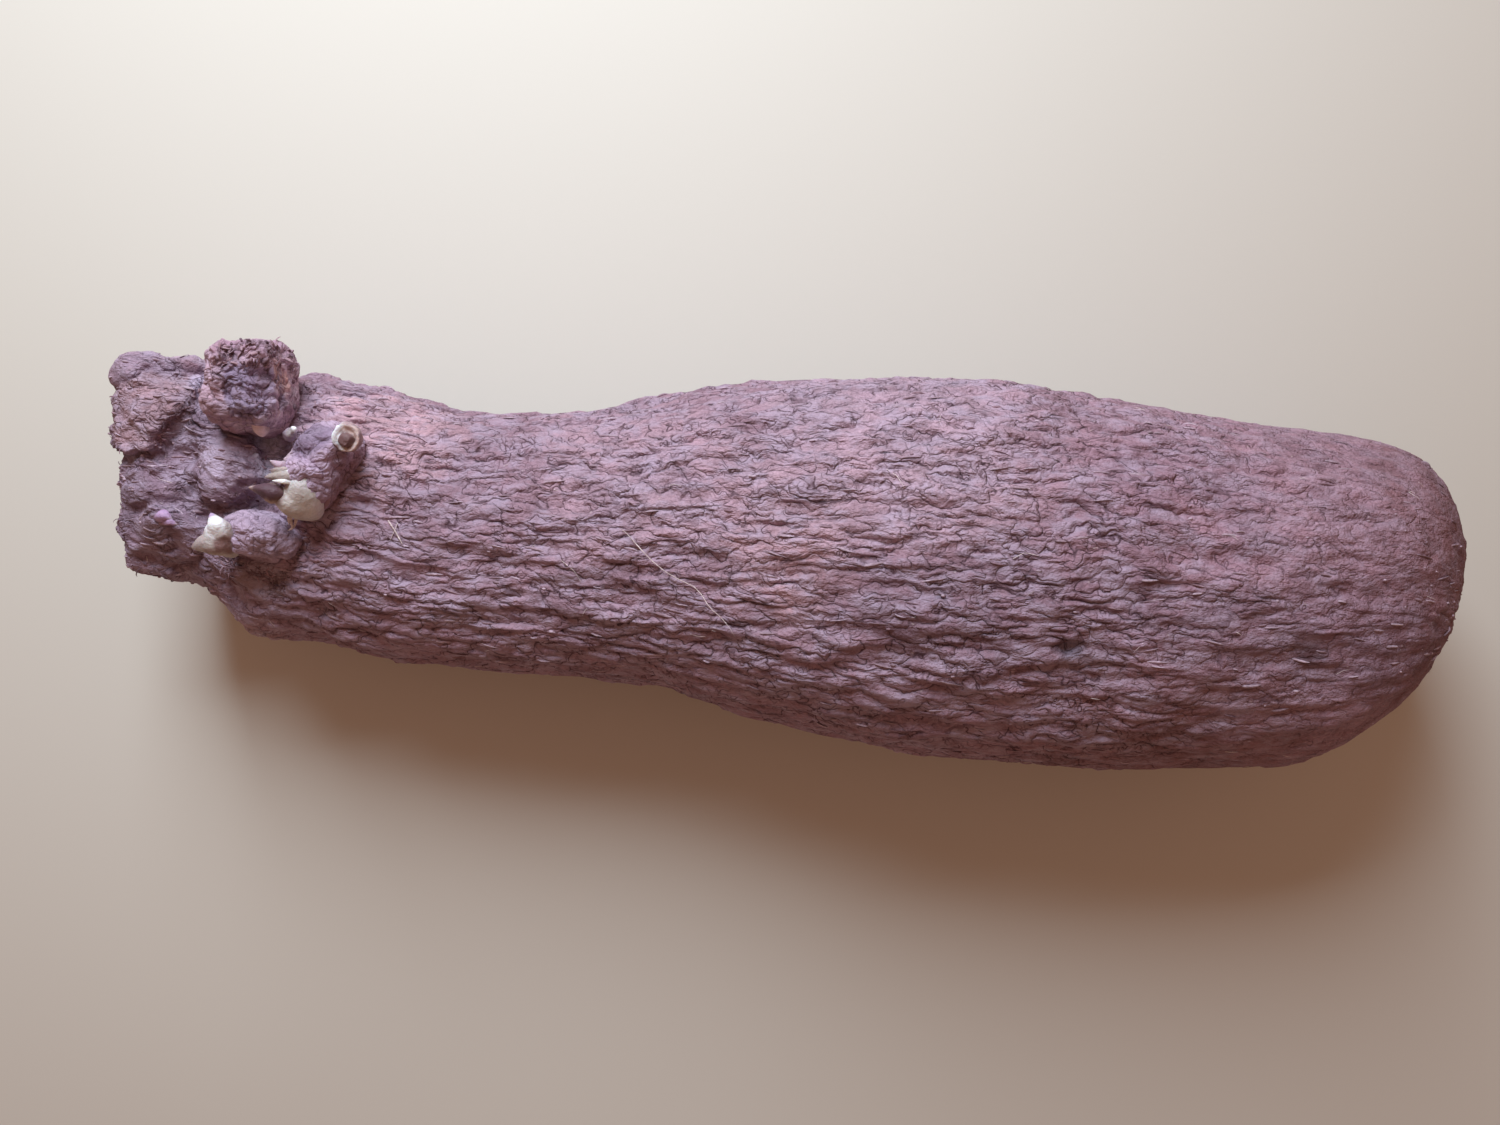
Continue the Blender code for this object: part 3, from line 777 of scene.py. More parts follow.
def mottle_group():
    """Breaks up a colour: slow patches, fine grain and a few pale specks."""
    group, start, end = shader_group(
        "mottle",
        [("Color", "Color", None), ("Place", "Vector", None), ("Patch", "Float", 0.3), ("Grain", "Float", 0.3),
         ("Specks", "Float", 0.3)],
        [("Color", "Color")],
    )
    place = start.outputs["Place"]
    patches = ramp(group, clouds(group, place, (13, 9, 9), 3.0), 0.35, 0.65, -1.0, 1.0)
    grain = ramp(group, clouds(group, place, (1.1, 0.7, 0.7), 3.0, 0.7), 0.3, 0.7, -1.0, 1.0)
    level = calc(group, "MULTIPLY_ADD", patches, start.outputs["Patch"], 1.0)
    level = calc(group, "MULTIPLY_ADD", grain, start.outputs["Grain"], level)
    speck = ramp(group, specks_at(group, place, (2.6, 1.9, 1.9)), 0.10, 0.16, 1.0, 0.0)
    some = ramp(group, clouds(group, place, (5, 5, 5), 1.0), 0.52, 0.60)
    speck = calc(group, "MULTIPLY", calc(group, "MULTIPLY", speck, some), start.outputs["Specks"])
    lit = scaled(group, start.outputs["Color"], level)
    group.links.new(blend_colours(group, speck, lit, (0.62, 0.48, 0.46, 1.0)), end.inputs["Color"])
    return group


def dust_and_highlight_group():
    """Pale lilac dust on what stands out, less in creases; on the plates it is also a painted highlight."""
    group, start, end = shader_group(
        "dust",
        [("Color", "Color", None), ("Place", "Vector", None), ("Crease", "Float", 0.0), ("Amount", "Float", 0.4),
         ("Dust", "Color", (0.52, 0.415, 0.545, 1.0))],
        [("Color", "Color")],
    )
    drift = ramp(group, clouds(group, start.outputs["Place"], (8, 5, 5), 4.0, 0.65), 0.38, 0.66)
    # dust stays out of the creases, so on the raised plates it also paints a highlight
    open_to_air = calc(group, "SUBTRACT", 1.0, start.outputs["Crease"], clamp=True)
    share = calc(group, "MULTIPLY", calc(group, "MULTIPLY", drift, open_to_air), start.outputs["Amount"])
    dusty = blend_colours(group, share, start.outputs["Color"], start.outputs["Dust"])
    group.links.new(dusty, end.inputs["Color"])
    return group


MOTTLE, DUST_AND_HIGHLIGHT = mottle_group(), dust_and_highlight_group()


def use_group(tree, group, **values):
    """Places a shared group in a material with its own values."""
    node = tree.nodes.new("ShaderNodeGroup")
    node.node_tree = group
    for name, value in values.items():
        feed(tree, node.inputs[name.capitalize()], value)
    return node.outputs[0]


def attribute(tree, name, output="Vector"):
    """Reads an attribute of the piece."""
    node = tree.nodes.new("ShaderNodeAttribute")
    node.attribute_name = name
    return node.outputs[output]


def object_place(tree):
    """The place on the piece in millimetres, without an attribute."""
    return calc_vector(tree, "DIVIDE", tree.nodes.new("ShaderNodeTexCoord").outputs["Object"], (MM, MM, MM))


def centred_clouds(tree, place, size, detail, roughness):
    """Noise around zero."""
    return calc(tree, "SUBTRACT", clouds(tree, place, size, detail, roughness), 0.5)


def bump(tree, height, shader, strength):
    """Feeds a height in millimetres to the shader's normal."""
    node = tree.nodes.new("ShaderNodeBump")
    node.inputs["Strength"].default_value = strength
    node.inputs["Distance"].default_value = MM
    feed(tree, node.inputs["Height"], height)
    tree.links.new(node.outputs["Normal"], shader.inputs["Normal"])


# %% Bark


def make_bark():
    """Dry, dusty bark: tint, mottle, dust and painted highlight on the plates, painted shade in the creases and fine
    crinkles.
    """
    made, tree, shader = new_material("bark", 0.86, 0.25)
    place, share = attribute(tree, "bark_place"), parts_of(tree, attribute(tree, "bark_share"))
    height, crease = whole_pattern(tree, place, share[0], share[1], 1.0)
    crinkle = centred_clouds(tree, place, (2.6, 1.5, 1.5), 4.0, 0.65)
    grain = centred_clouds(tree, place, (0.6, 0.5, 0.5), 2.0, 0.6)
    height = calc(tree, "MULTIPLY_ADD", crinkle, 1.7, height)
    height = calc(tree, "MULTIPLY_ADD", grain, 0.35, height)
    colour = attribute(tree, "tint", "Color")
    colour = use_group(tree, MOTTLE, color=colour, place=place, patch=0.12, grain=0.16, specks=0.4)
    colour = use_group(tree, DUST_AND_HIGHLIGHT, color=colour, place=place, crease=crease,
                       amount=calc(tree, "MULTIPLY", share[2], 0.6))
    # painted shade: the creases are darkened in the colour, where shade falls in them
    colour = blend_colours(tree, calc(tree, "MULTIPLY", crease, 0.78), colour, (0.062, 0.027, 0.040, 1.0))
    tree.links.new(colour, shader.inputs["Base Color"])
    bump(tree, height, shader, 0.95)
    return made


bark = make_bark()


def hand_over(piece, material, slot, *nodes):
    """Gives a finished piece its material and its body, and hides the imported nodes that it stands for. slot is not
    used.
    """
    piece.data.materials.clear()
    piece.data.materials.append(material)
    if nodes:
        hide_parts(*nodes)
    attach(piece, "root")
    print(piece.name, len(piece.data.polygons), "faces")


hand_over(skin, bark, "tuber_skin", "tuber")

# %% [markdown]
# ## Woody knobs
# Where a shoot has grown, the crown carries a knob of wood. The stump is the oldest: its top is torn
# open, dark violet inside, with tan walls of bark around it. The other two are smooth and purple-grey.
# Each is a fine sphere drawn onto its packed knob by rays from the knob's middle, and then fitted a
# little to its outline in the photograph. Its foot is pushed into the crown, so that no light shows
# under it. Strokes and tints work as on the skin, and an attribute says how rough the wood is: the
# stump's torn top is crumpled, and the rest has shallow wrinkles.

# %% Draw a knob
KNOB_COLUMNS, KNOB_RINGS = 150, 96
KNOB_PASSES = 4
FOOT_DEPTH = 2.0            # how far a knob's foot goes into the crown, mm


def knob_skin(name, node, narrower, aside, square=0.0, lean=0.0):
    """A fine sphere drawn onto a packed knob, with its foot pushed into the crown.

    It is made narrower, moved aside by millimetres, squared at its corners, and its left side leans."""
    tree = surface_tree(node)
    low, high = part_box(node)
    centre = (low + high) / 2
    shape = bmesh.new()
    bmesh.ops.create_uvsphere(shape, u_segments=KNOB_COLUMNS, v_segments=KNOB_RINGS, radius=1.0)
    for vertex in shape.verts:
        way = vertex.co.normalized()
        found = tree.ray_cast(centre, way)[0] or centre
        foot = min(1.0, max(0.0, -way.z * 2.0 - 0.3))
        vertex.co = found + way * foot * FOOT_DEPTH * MM
        out = vertex.co - centre
        corner = 1 + square * math.sin(2 * math.atan2(out.y, out.x)) ** 2 * min(1.0, max(0.0, way.z + 0.6))
        taken_in = narrower * (1 + (lean * out.y / (high.y - centre.y) if out.x < 0 else 0.0))
        vertex.co.x = centre.x + out.x * corner * taken_in + aside * MM
        vertex.co.y = centre.y + out.y * corner
    soften(shape, shape.verts, KNOB_PASSES)
    return make_object(name, shape)


# %% Strokes, plates and tints of the knobs
STUMP_FACE = [(221, 368), (246, 363), (268, 366), (282, 368), (284, 392), (270, 396), (268, 414), (246, 419),
              (230, 412), (223, 394)]
STUMP_TORN = [(206, 352), (222, 338), (296, 340), (302, 366), (287, 374), (286, 408), (268, 418), (244, 422),
              (228, 414), (220, 394), (208, 380)]
STUMP_STROKES = {
    "torn_rim": ([(212, 356), (224, 348), (250, 347), (280, 351), (294, 362)], 6, 0.8),
    "left_wall": ([(214, 380), (213, 405), (220, 420)], 4, 0.5),
    "boss": ([(277, 402), (282, 405)], 8, 2.2),
    "boss_ring": ([(267, 397), (267, 410), (278, 416)], 3, -0.9),
    "lump_left": ([(234, 384), (240, 380)], 8, 1.2),
    "lump_middle": ([(258, 378), (263, 380)], 7, 0.9),
    "lump_low": ([(240, 406), (248, 409)], 7, 0.8),
    "pit_middle": ([(250, 394), (260, 400)], 4, -1.1),
    "pit_left": ([(226, 394), (229, 400)], 3, -0.9),
    "pit_top": ([(248, 368), (254, 372)], 3, -0.5),
}
STUMP_PLATES = {
    "torn_face": (STUMP_FACE, 2.5, -0.9),
    "rim_left": ([(211, 354), (222, 344), (231, 350), (224, 362), (213, 366)], 1.5, 1.1),
    "rim_middle": ([(240, 342), (258, 341), (264, 350), (250, 356), (238, 351)], 1.5, 0.3),
    "rim_right": ([(270, 344), (288, 347), (296, 360), (287, 367), (275, 356)], 1.5, 1.2),
}
STUMP_WOOD = (0.475, 0.315, 0.395)
STUMP_TINTS = {
    "right_wall": ((291, 380), 78, 6, (0.520, 0.280, 0.250), 0.9),
    "left_low": ((222, 418), 74, 5, (0.240, 0.145, 0.180), 0.8),
}
STUMP_PATCHES = {
    "torn_face": (STUMP_FACE, 3.0, (0.270, 0.190, 0.290), 0.9),
    "face_lilac": ([(226, 372), (244, 368), (250, 382), (236, 390), (226, 386)], 3.0, (0.290, 0.215, 0.315), 0.6),
    "face_blue": ([(232, 398), (250, 402), (262, 412), (248, 417), (232, 410)], 3.0, (0.270, 0.205, 0.305), 0.5),
    "face_rust": ([(252, 374), (268, 372), (272, 384), (258, 388)], 4.0, (0.200, 0.125, 0.170), 0.7),
    "boss": ([(270, 396), (283, 395), (287, 402), (284, 411), (271, 409)], 2.0, (0.420, 0.330, 0.460), 0.8),
    "boss_side": ([(282, 404), (289, 402), (290, 413), (282, 413)], 2.0, (0.210, 0.115, 0.130), 0.8),
    # painted light that lifts the shade on the stump's low wall
    "low_wall_painted_light": ([(226, 421), (244, 424), (262, 419), (282, 415), (284, 424), (264, 436), (238, 432)], 3.0,
                 (0.680, 0.560, 0.660), 0.9),
    "rim_top": ([(212, 338), (298, 338), (298, 354), (212, 356)], 4.0, (0.330, 0.180, 0.240), 0.7),
    "rim_pits": ([(214, 362), (226, 352), (244, 352), (236, 364), (222, 368)], 3.0, (0.150, 0.095, 0.130), 0.7),
}
FORKED_STROKES = {
    "wrinkle_top": ([(298, 457), (318, 465), (338, 458)], 3, -0.7),
    "wrinkle_middle": ([(306, 479), (330, 488), (350, 481)], 3, -0.8),
    "wrinkle_low": ([(322, 507), (340, 496), (357, 476)], 3, -0.9),
    "ridge_right": ([(333, 512), (342, 498), (352, 484)], 3, 0.9),
    "bud_collar": ([(331, 430), (333, 448), (347, 456), (360, 448)], 4, 0.8),
    "boss_left": ([(290, 462), (298, 466)], 8, 1.0),
    "boss_middle": ([(318, 474), (326, 476)], 9, 0.9),
    "fold_left": ([(300, 450), (306, 462), (322, 470)], 2, -0.6),
    "pit": ([(334, 466), (338, 469)], 4, -0.9),
}
FORKED_WOOD = (0.490, 0.355, 0.475)
FORKED_TINTS = {
    "right_brown": ((356, 474), 82, 8, (0.270, 0.150, 0.185), 0.9),
    "low_brown": ((340, 512), 82, 8, (0.290, 0.175, 0.210), 0.8),
    "bud_foot": ((344, 456), 90, 4, (0.220, 0.130, 0.165), 0.8),
    "peach_spot": ((286, 456), 88, 3.0, (0.620, 0.460, 0.520), 0.9),
    "lilac_top": ((305, 436), 90, 8, (0.190, 0.130, 0.205), 0.8),
}
LOW_STROKES = {
    "waist": ([(263, 515), (267, 535), (263, 556)], 6, -0.6),
    "boss": ([(257, 536), (261, 538)], 5, 0.9),
    "lobe_fold": ([(280, 526), (277, 545), (283, 560)], 5, -0.8),
    "ridge": ([(236, 525), (238, 548)], 4, 0.6),
    "crossfold": ([(228, 532), (244, 535), (258, 533)], 3, -0.4),
}
LOW_WOOD = (0.410, 0.300, 0.400)
LOW_TINTS = {
    "lower_side": ((255, 556), 76, 6, (0.250, 0.150, 0.180), 0.8),
    "shoot_side": ((228, 548), 78, 5, (0.300, 0.175, 0.190), 0.8),
    "lobe": ((290, 545), 80, 5, (0.270, 0.180, 0.235), 0.7),
}

# %% Wrinkle the knobs
KNOB_CREASES = 1.4          # how much wider the creases are in a knob's mesh than in its colour


def knob_pattern(tree, place, rough, width):
    """A knob's height in millimetres and how deep in a crease a place is. rough is 0 to 1 and may vary."""
    def level(smooth_value, rough_value):
        return calc(tree, "MULTIPLY_ADD", rough, rough_value - smooth_value, smooth_value)
    bent = wander(tree, place, KNOB_PUSHES)
    main, main_crease = folds(tree, bent, KNOB_MAIN, width)
    small, small_crease = folds(tree, bent, KNOB_SMALL, width)
    lump = calc(tree, "SUBTRACT", clouds(tree, bent, (5, 5, 5), 4.0, 0.6), 0.5)
    height = calc(tree, "SUBTRACT", calc(tree, "MULTIPLY", lump, level(1.4, 2.9)), level(0.32, 0.66))
    height = calc(tree, "MULTIPLY_ADD", main, level(0.42, 0.65), height)
    height = calc(tree, "MULTIPLY_ADD", small, level(0.16, 0.50), height)
    return height, calc(tree, "MAXIMUM", main_crease, calc(tree, "MULTIPLY", small_crease, 0.6))


def knob_recipe(tree, read):
    """A knob's height, crumpled where it is rough, with shallow wrinkles where it isn't."""
    return knob_pattern(tree, read("bark_place"), read("knob_rough"), KNOB_CREASES)[0]


def make_wood():
    """Dry wood of a knob: tint, mottle, a little dust with painted highlight, and painted shade in the creases."""
    made, tree, shader = new_material("wood", 0.8, 0.3)
    place, rough = attribute(tree, "bark_place"), attribute(tree, "knob_rough")
    height, crease = knob_pattern(tree, place, rough, 1.0)
    height = calc(tree, "MULTIPLY_ADD", centred_clouds(tree, place, (0.8, 0.7, 0.7), 3.0, 0.7), 0.5, height)
    colour = attribute(tree, "tint", "Color")
    colour = use_group(tree, MOTTLE, color=colour, place=place, patch=0.16, grain=0.20, specks=0.3)
    colour = use_group(tree, DUST_AND_HIGHLIGHT, color=colour, place=place, crease=crease, amount=0.26)
    # painted shade: the creases are darkened in the colour
    colour = blend_colours(tree, calc(tree, "MULTIPLY", crease, 0.55), colour, (0.06, 0.032, 0.045, 1))
    tree.links.new(colour, shader.inputs["Base Color"])
    bump(tree, height, shader, 0.8)
    return made


WOOD = make_wood()


def finish_knob(name, node, slot, fit, wood, rough, strokes, tints, plates=None, patches=None, torn=None):
    """Draws, sculpts, wrinkles and tints one knob.

    fit: the last numbers of knob_skin. torn: the outline in the photo within which it is fully rough."""
    knob = knob_skin(name, node, *fit)
    sculpt(knob.data, strokes, plates or {})
    knob_places = places_of(knob.data)
    torn_share = inside(ragged_pixels(knob_places), torn, 3.0) if torn else np.zeros(len(knob_places))
    write_vectors(knob.data, "bark_place", knob_places / MM)
    write_vectors(knob.data, "knob_rough", np.repeat(rough + (1 - rough) * torn_share, 3))
    wrinkle(knob, knob_recipe)
    paint_tints(knob.data, wood, tints, patches or {})
    hand_over(knob, WOOD, slot, node)
    return knob


stump = finish_knob("torn_stump", "crown_knob_stump", "stump_wood", (0.90, -1.0, 0.13, -0.20),
                    STUMP_WOOD, 0.15, STUMP_STROKES, STUMP_TINTS, STUMP_PLATES, STUMP_PATCHES, STUMP_TORN)
forked_knob = finish_knob("forked_sprout_knob", "sprout_knob_forked", "knob_wood", (0.90, -1.0),
                          FORKED_WOOD, 0.25, FORKED_STROKES, FORKED_TINTS)
low_knob = finish_knob("low_sprout_knob", "sprout_knob_low", "knob_wood", (1.0, 0.0), LOW_WOOD, 0.15,
                       LOW_STROKES, LOW_TINTS)

# %% [markdown]
# ## Shoots, scales and buds
# A shoot and each of its scales are spindles: a sphere whose poles are pulled to the two ends of a bent
# path, with a width that swells and narrows along it. A scale is a thin spindle that is cupped. Each
# point keeps how far along and how far across the spindle it is, so the flesh can be purple at the tip
# and cream at the rim.

# %% Grow a spindle along a path
CUP_EDGE = 0.55


def along_path(path, share):
    """The point at a share of the way along a path, and the direction there."""
    def at(u):
        step_along = min(1.0, max(0.0, u)) * (len(path) - 1)
        first = min(int(step_along), len(path) - 2)
        return path[first].lerp(path[first + 1], step_along - first)
    point = at(share) * 0.5 + (at(share - 0.08) + at(share + 0.08)) * 0.25
    return point, (at(share + 0.12) - at(share - 0.12)).normalized()


def grow(shape, path, half_width, half_thickness, columns, rings, fullest, pointed, cup=0.0, roll=0.0):
    """Adds a spindle along a path of points in metres. Widths are in millimetres, roll is in degrees."""
    along_layer = shape.verts.layers.float.get("along") or shape.verts.layers.float.new("along")
    across_layer = shape.verts.layers.float.get("across") or shape.verts.layers.float.new("across")
    made = bmesh.ops.create_uvsphere(shape, u_segments=columns, v_segments=rings, radius=1.0)["verts"]
    known = {}
    for vertex in made:
        ring = round(math.acos(max(-1.0, min(1.0, vertex.co.z))) / math.pi * rings)
        if ring not in known:
            u = 1 - ring / rings
            spot, ahead = along_path(path, u)
            side = Vector((0, 0, 1)).cross(ahead)
            side = side.normalized() if side.length > 1e-4 else Vector((1, 0, 0))
            side.rotate(Matrix.Rotation(math.radians(roll), 3, ahead))
            if u < fullest:
                full = math.sqrt(max(0.0, 1 - (1 - u / fullest) ** 2))
            else:
                full = max(0.0, 1 - ((u - fullest) / (1 - fullest)) ** pointed)
            known[ring] = spot, side, ahead.cross(side), full, u
        spot, side, up, full, u = known[ring]
        flat = Vector((vertex.co.x, vertex.co.y))
        flat = flat.normalized() if flat.length > 1e-6 else Vector((0.0, 0.0))
        lift = cup * (1 - (abs(flat.x) / CUP_EDGE) ** 2) * full
        across = side * flat.x * full * half_width * MM
        vertex.co = spot + across + up * (flat.y * full * half_thickness + lift) * MM
        vertex[along_layer] = u
        vertex[across_layer] = flat.x * full
    return made


def through(*marks):
    """A path through marks, each a pixel of the photo and a height in millimetres."""
    return [seen(px, py, height) for px, py, height in marks]


def grown(*spindles):
    """A shape with spindles, each a tuple of marks and then the numbers that grow takes after a path."""
    shape = bmesh.new()
    for marks, *numbers in spindles:
        grow(shape, through(*marks), *numbers)
    return shape


# %% Fuse spindles into one body
FUSE_VOXEL = 0.22           # mm


def fuse(name, shape, passes, lumps, lump_size):
    """Joins overlapping spindles into one smooth body, with shallow lumps in millimetres."""
    blank = make_object(name, shape)
    modifier = blank.modifiers.new("join", "REMESH")
    modifier.mode = "VOXEL"
    modifier.voxel_size = FUSE_VOXEL * MM
    ready = blank.evaluated_get(bpy.context.evaluated_depsgraph_get())
    joined = bmesh.new()
    joined.from_mesh(ready.to_mesh())
    bpy.data.objects.remove(blank)
    soften(joined, joined.verts, passes)
    joined.normal_update()
    for vertex in joined.verts:
        vertex.co += vertex.normal * lumps * MM * noise.noise(vertex.co / (lump_size * MM))
    return make_object(name, joined)


# %% Flesh of the shoots
GLOW_DEPTH = 0.0012         # how far light goes into the flesh, metres


def make_flesh(name, roughness, glow):
    """Smooth flesh of a shoot: its tint, a little mottle, soft light inside and shallow veins."""
    made, tree, shader = new_material(name, roughness)
    shader.inputs["Subsurface Weight"].default_value = glow
    shader.inputs["Subsurface Scale"].default_value = GLOW_DEPTH
    place = object_place(tree)
    colour = attribute(tree, "tint", "Color")
    colour = use_group(tree, MOTTLE, color=colour, place=place, patch=0.07, grain=0.10, specks=0.0)
    tree.links.new(colour, shader.inputs["Base Color"])
    bump(tree, centred_clouds(tree, place, (1.3, 1.3, 1.3), 4.0, 0.6), shader, 0.5)
    return made


def paint_spindle(mesh, root, middle_colour, tip, rim):
    """Tints a spindle from its root to its tip, with another colour at its two edges."""
    along, across = layer_of(mesh, "along"), layer_of(mesh, "across")
    uneven = uneven_at(places_of(mesh), 1.5 * MM)
    colour = one_colour(root, len(along))
    for share, shade in ((step(0.10, 0.42, along + 0.12 * uneven), middle_colour),
                         (step(0.72, 0.96, along + 0.10 * uneven), tip),
                         (step(0.62, 0.92, np.abs(across) + 0.15 * uneven), rim)):
        lay_over(colour, shade, share)
    write_tint(mesh, colour)


flesh, skin_flesh = make_flesh("shoot_flesh", 0.6, 0.10), make_flesh("scale_flesh", 0.6, 0.05)

# %% Forked shoot
CREAM = (0.610, 0.565, 0.545)
shoot_shape = grown(
    (((318, 517, 80), (308, 505, 86), (301, 490, 89.7), (298, 468, 91.8)), 4.4, 3.9, 26, 22, 0.45, 3.0),
    (((314, 517, 80), (302, 507, 86.5), (287, 499, 89.4), (266, 494, 90.2)), 4.2, 3.5, 26, 22, 0.48, 2.2),
    (((308, 506, 83), (297, 494, 88), (287, 484, 90.6)), 5.2, 3.4, 22, 18, 0.5, 2.8))
forked_shoot = fuse("forked_shoot", shoot_shape, 75, 0.15, 3.0)
paint_tints(forked_shoot.data, CREAM, {}, {
    "top": ([(288, 472), (302, 472), (311, 486), (306, 492), (292, 488)], 4.0, (0.700, 0.670, 0.680), 0.9),
    "ridge": ([(290, 486), (304, 486), (304, 500), (288, 500)], 5.0, (0.530, 0.460, 0.440), 0.8),
    "foot": ([(300, 512), (314, 503), (328, 510), (320, 526), (302, 522)], 5.0, (0.620, 0.590, 0.590), 0.8),
    "left_end": ([(266, 488), (284, 494), (282, 508), (268, 502)], 3.0, (0.260, 0.170, 0.170), 0.85),
    "low_side": ([(284, 508), (304, 514), (302, 524), (284, 516)], 3.0, (0.500, 0.440, 0.420), 0.7),
})
hand_over(forked_shoot, flesh, "shoot_flesh", "shoot_forked")

leaf_shape = grown(
    (((297, 485, 90), (284, 476, 93), (263, 477.5, 91.8)), 2.2, 0.55, 24, 20, 0.45, 1.6, 0.5, -20),
    (((296, 477, 90), (284, 469.5, 92.6), (269, 470, 92.4)), 1.6, 0.5, 20, 18, 0.5, 1.8, 0.5, 40))
pale_strip = grow(leaf_shape, through((294, 483, 91.5), (284, 481.5, 93.6), (271, 480.5, 93.2)),
                  0.65, 0.4, 14, 14, 0.5, 1.6)
for vertex in pale_strip:
    vertex[leaf_shape.verts.layers.float["across"]] = 1.0
leaf = make_object("forked_shoot_cream_scales", leaf_shape)
paint_spindle(leaf.data, (0.34, 0.27, 0.25), (0.42, 0.35, 0.33), (0.38, 0.29, 0.30), (0.92, 0.90, 0.90))
hand_over(leaf, flesh, "shoot_flesh")

scale_shape = grown(
    (((291, 496, 88), (276, 493, 92.4), (262, 489, 92.8), (247, 487, 90.8)), 3.0, 0.8, 30, 26, 0.42, 1.4, 0.8, 10))
scale = make_object("forked_shoot_dark_scale", scale_shape)
paint_spindle(scale.data, (0.200, 0.120, 0.110), (0.105, 0.050, 0.068), (0.500, 0.370, 0.350),
              (0.420, 0.300, 0.260))
hand_over(scale, skin_flesh, "shoot_flesh")

pink_shape = grown(
    (((290, 472, 89.5), (280, 465, 92.9), (269, 460, 92.2)), 1.5, 0.45, 16, 16, 0.45, 1.4, 0.4, 15))
pink_scale = make_object("forked_shoot_pink_scale", pink_shape)
paint_spindle(pink_scale.data, (0.34, 0.22, 0.28), (0.52, 0.38, 0.47), (0.60, 0.48, 0.54), (0.56, 0.44, 0.50))
hand_over(pink_scale, skin_flesh, "bud_pink")

# %% Low shoot
horn_shape = grown(
    (((238, 556, 77), (222, 543, 83.5), (205, 543, 83.6), (188, 549, 80.3)), 3.5, 3.0, 28, 26, 0.42, 1.7),
    (((234, 549, 78), (222, 533, 84.5), (216, 523, 86.6), (209, 510, 86.8)), 3.4, 2.6, 26, 24, 0.42, 1.6),
    (((232, 546, 79), (215, 534, 84.8), (203, 533, 84)), 4.2, 2.3, 24, 20, 0.5, 2.2))
low_shoot = fuse("low_shoot", horn_shape, 55, 0.15, 2.6)
paint_tints(low_shoot.data, (0.520, 0.460, 0.450), {}, {
    "white_face": ([(207, 514), (224, 518), (227, 534), (222, 540), (206, 538), (202, 526)], 3.0,
                   (0.900, 0.905, 0.960), 1.0),
    "left_face": ([(187, 540), (202, 530), (207, 546), (196, 553), (186, 552)], 3.0,
                  (0.430, 0.345, 0.345), 0.8),
    "horn_tip": ([(205, 508), (216, 508), (214, 516), (207, 517)], 1.5, (0.470, 0.330, 0.520), 0.95),
    "left_tip": ([(184, 543), (193, 543), (194, 553), (184, 553)], 2.0, (0.300, 0.205, 0.210), 0.8),
    "brown_side": ([(213, 541), (224, 535), (232, 540), (232, 555), (216, 552)], 3.0,
                   (0.235, 0.130, 0.125), 0.95),
    "brown_low": ([(202, 549), (214, 546), (216, 553), (206, 555)], 2.0, (0.290, 0.180, 0.165), 0.8),
    "yellow_edge": ([(206, 553), (222, 555), (224, 562), (208, 560)], 1.5, (0.480, 0.390, 0.330), 0.9),
})
hand_over(low_shoot, flesh, "shoot_flesh", "shoot_low")

# %% Round bud, turned from a profile
# distance from the bud's axis and height above its rim, mm
BUD_PROFILE = [(0.0, 1.5), (0.7, 1.45), (1.4, 1.05), (1.9, 0.45), (2.15, -0.1), (2.5, -0.15), (3.0, 0.30),
               (3.5, 0.45), (3.95, 0.15), (4.15, -0.8), (3.9, -2.2), (3.0, -4.2), (0.0, -5.2)]
BUD_LEAN = Matrix.Rotation(math.radians(16), 3, "X")
bud_foot = seen(346, 438, 91.6)
round_shape = bmesh.new()
profile = [round_shape.verts.new((out * MM, 0, up * MM)) for out, up in BUD_PROFILE]
edges = [round_shape.edges.new(pair) for pair in zip(profile[:-1], profile[1:])]
bmesh.ops.subdivide_edges(round_shape, edges=edges, cuts=2, smooth=0.0)
bmesh.ops.spin(round_shape, geom=round_shape.verts[:] + round_shape.edges[:], axis=(0, 0, 1), cent=(0, 0, 0),
               steps=48, angle=2 * math.pi, use_merge=True)
bmesh.ops.remove_doubles(round_shape, verts=round_shape.verts, dist=0.00002)
soften(round_shape, round_shape.verts, 1)
bmesh.ops.recalc_face_normals(round_shape, faces=round_shape.faces)
radius_layer = round_shape.verts.layers.float.new("along")
for vertex in round_shape.verts:
    out = Vector((vertex.co.x, vertex.co.y)).length / MM
    vertex[radius_layer] = out
    heart = max(0.0, 1 - out / 2.4)
    vertex.co += Vector((0.15, -1.0, 0.0)) * heart ** 0.5 * MM
    uneven = noise.noise_vector(vertex.co / (1.8 * MM)) * 0.42 * MM
    vertex.co = BUD_LEAN @ (vertex.co + uneven) + bud_foot
round_bud = make_object("round_bud", round_shape)
bud_places = places_of(round_bud.data)
bud_out, bud_uneven = layer_of(round_bud.data, "along"), uneven_at(bud_places, 1.3 * MM)
leftward, downward = ((bud_foot[k] - bud_places[:, k]) / MM for k in (0, 1))
left, notch = step(-0.5, 2.8, leftward), step(0.5, 2.4, leftward) * step(0.8, 2.2, downward)
bud_colour = one_colour((0.160, 0.082, 0.084), len(bud_places))
for share, shade in ((step(2.0, 2.7, bud_out + 0.7 * bud_uneven), (0.620, 0.470, 0.450)),
                     (step(1.9, 2.5, bud_out + 0.7 * bud_uneven) * left, (0.840, 0.860, 0.920)),
                     (step(1.9, 2.5, bud_out) * notch, (0.200, 0.110, 0.110)),
                     (step(3.6, 4.1, bud_out + 0.4 * bud_uneven) * (1 - left), (0.330, 0.215, 0.240))):
    lay_over(bud_colour, shade, share)
write_tint(round_bud.data, bud_colour)
hand_over(round_bud, flesh, "bud_cream", "bud_round")

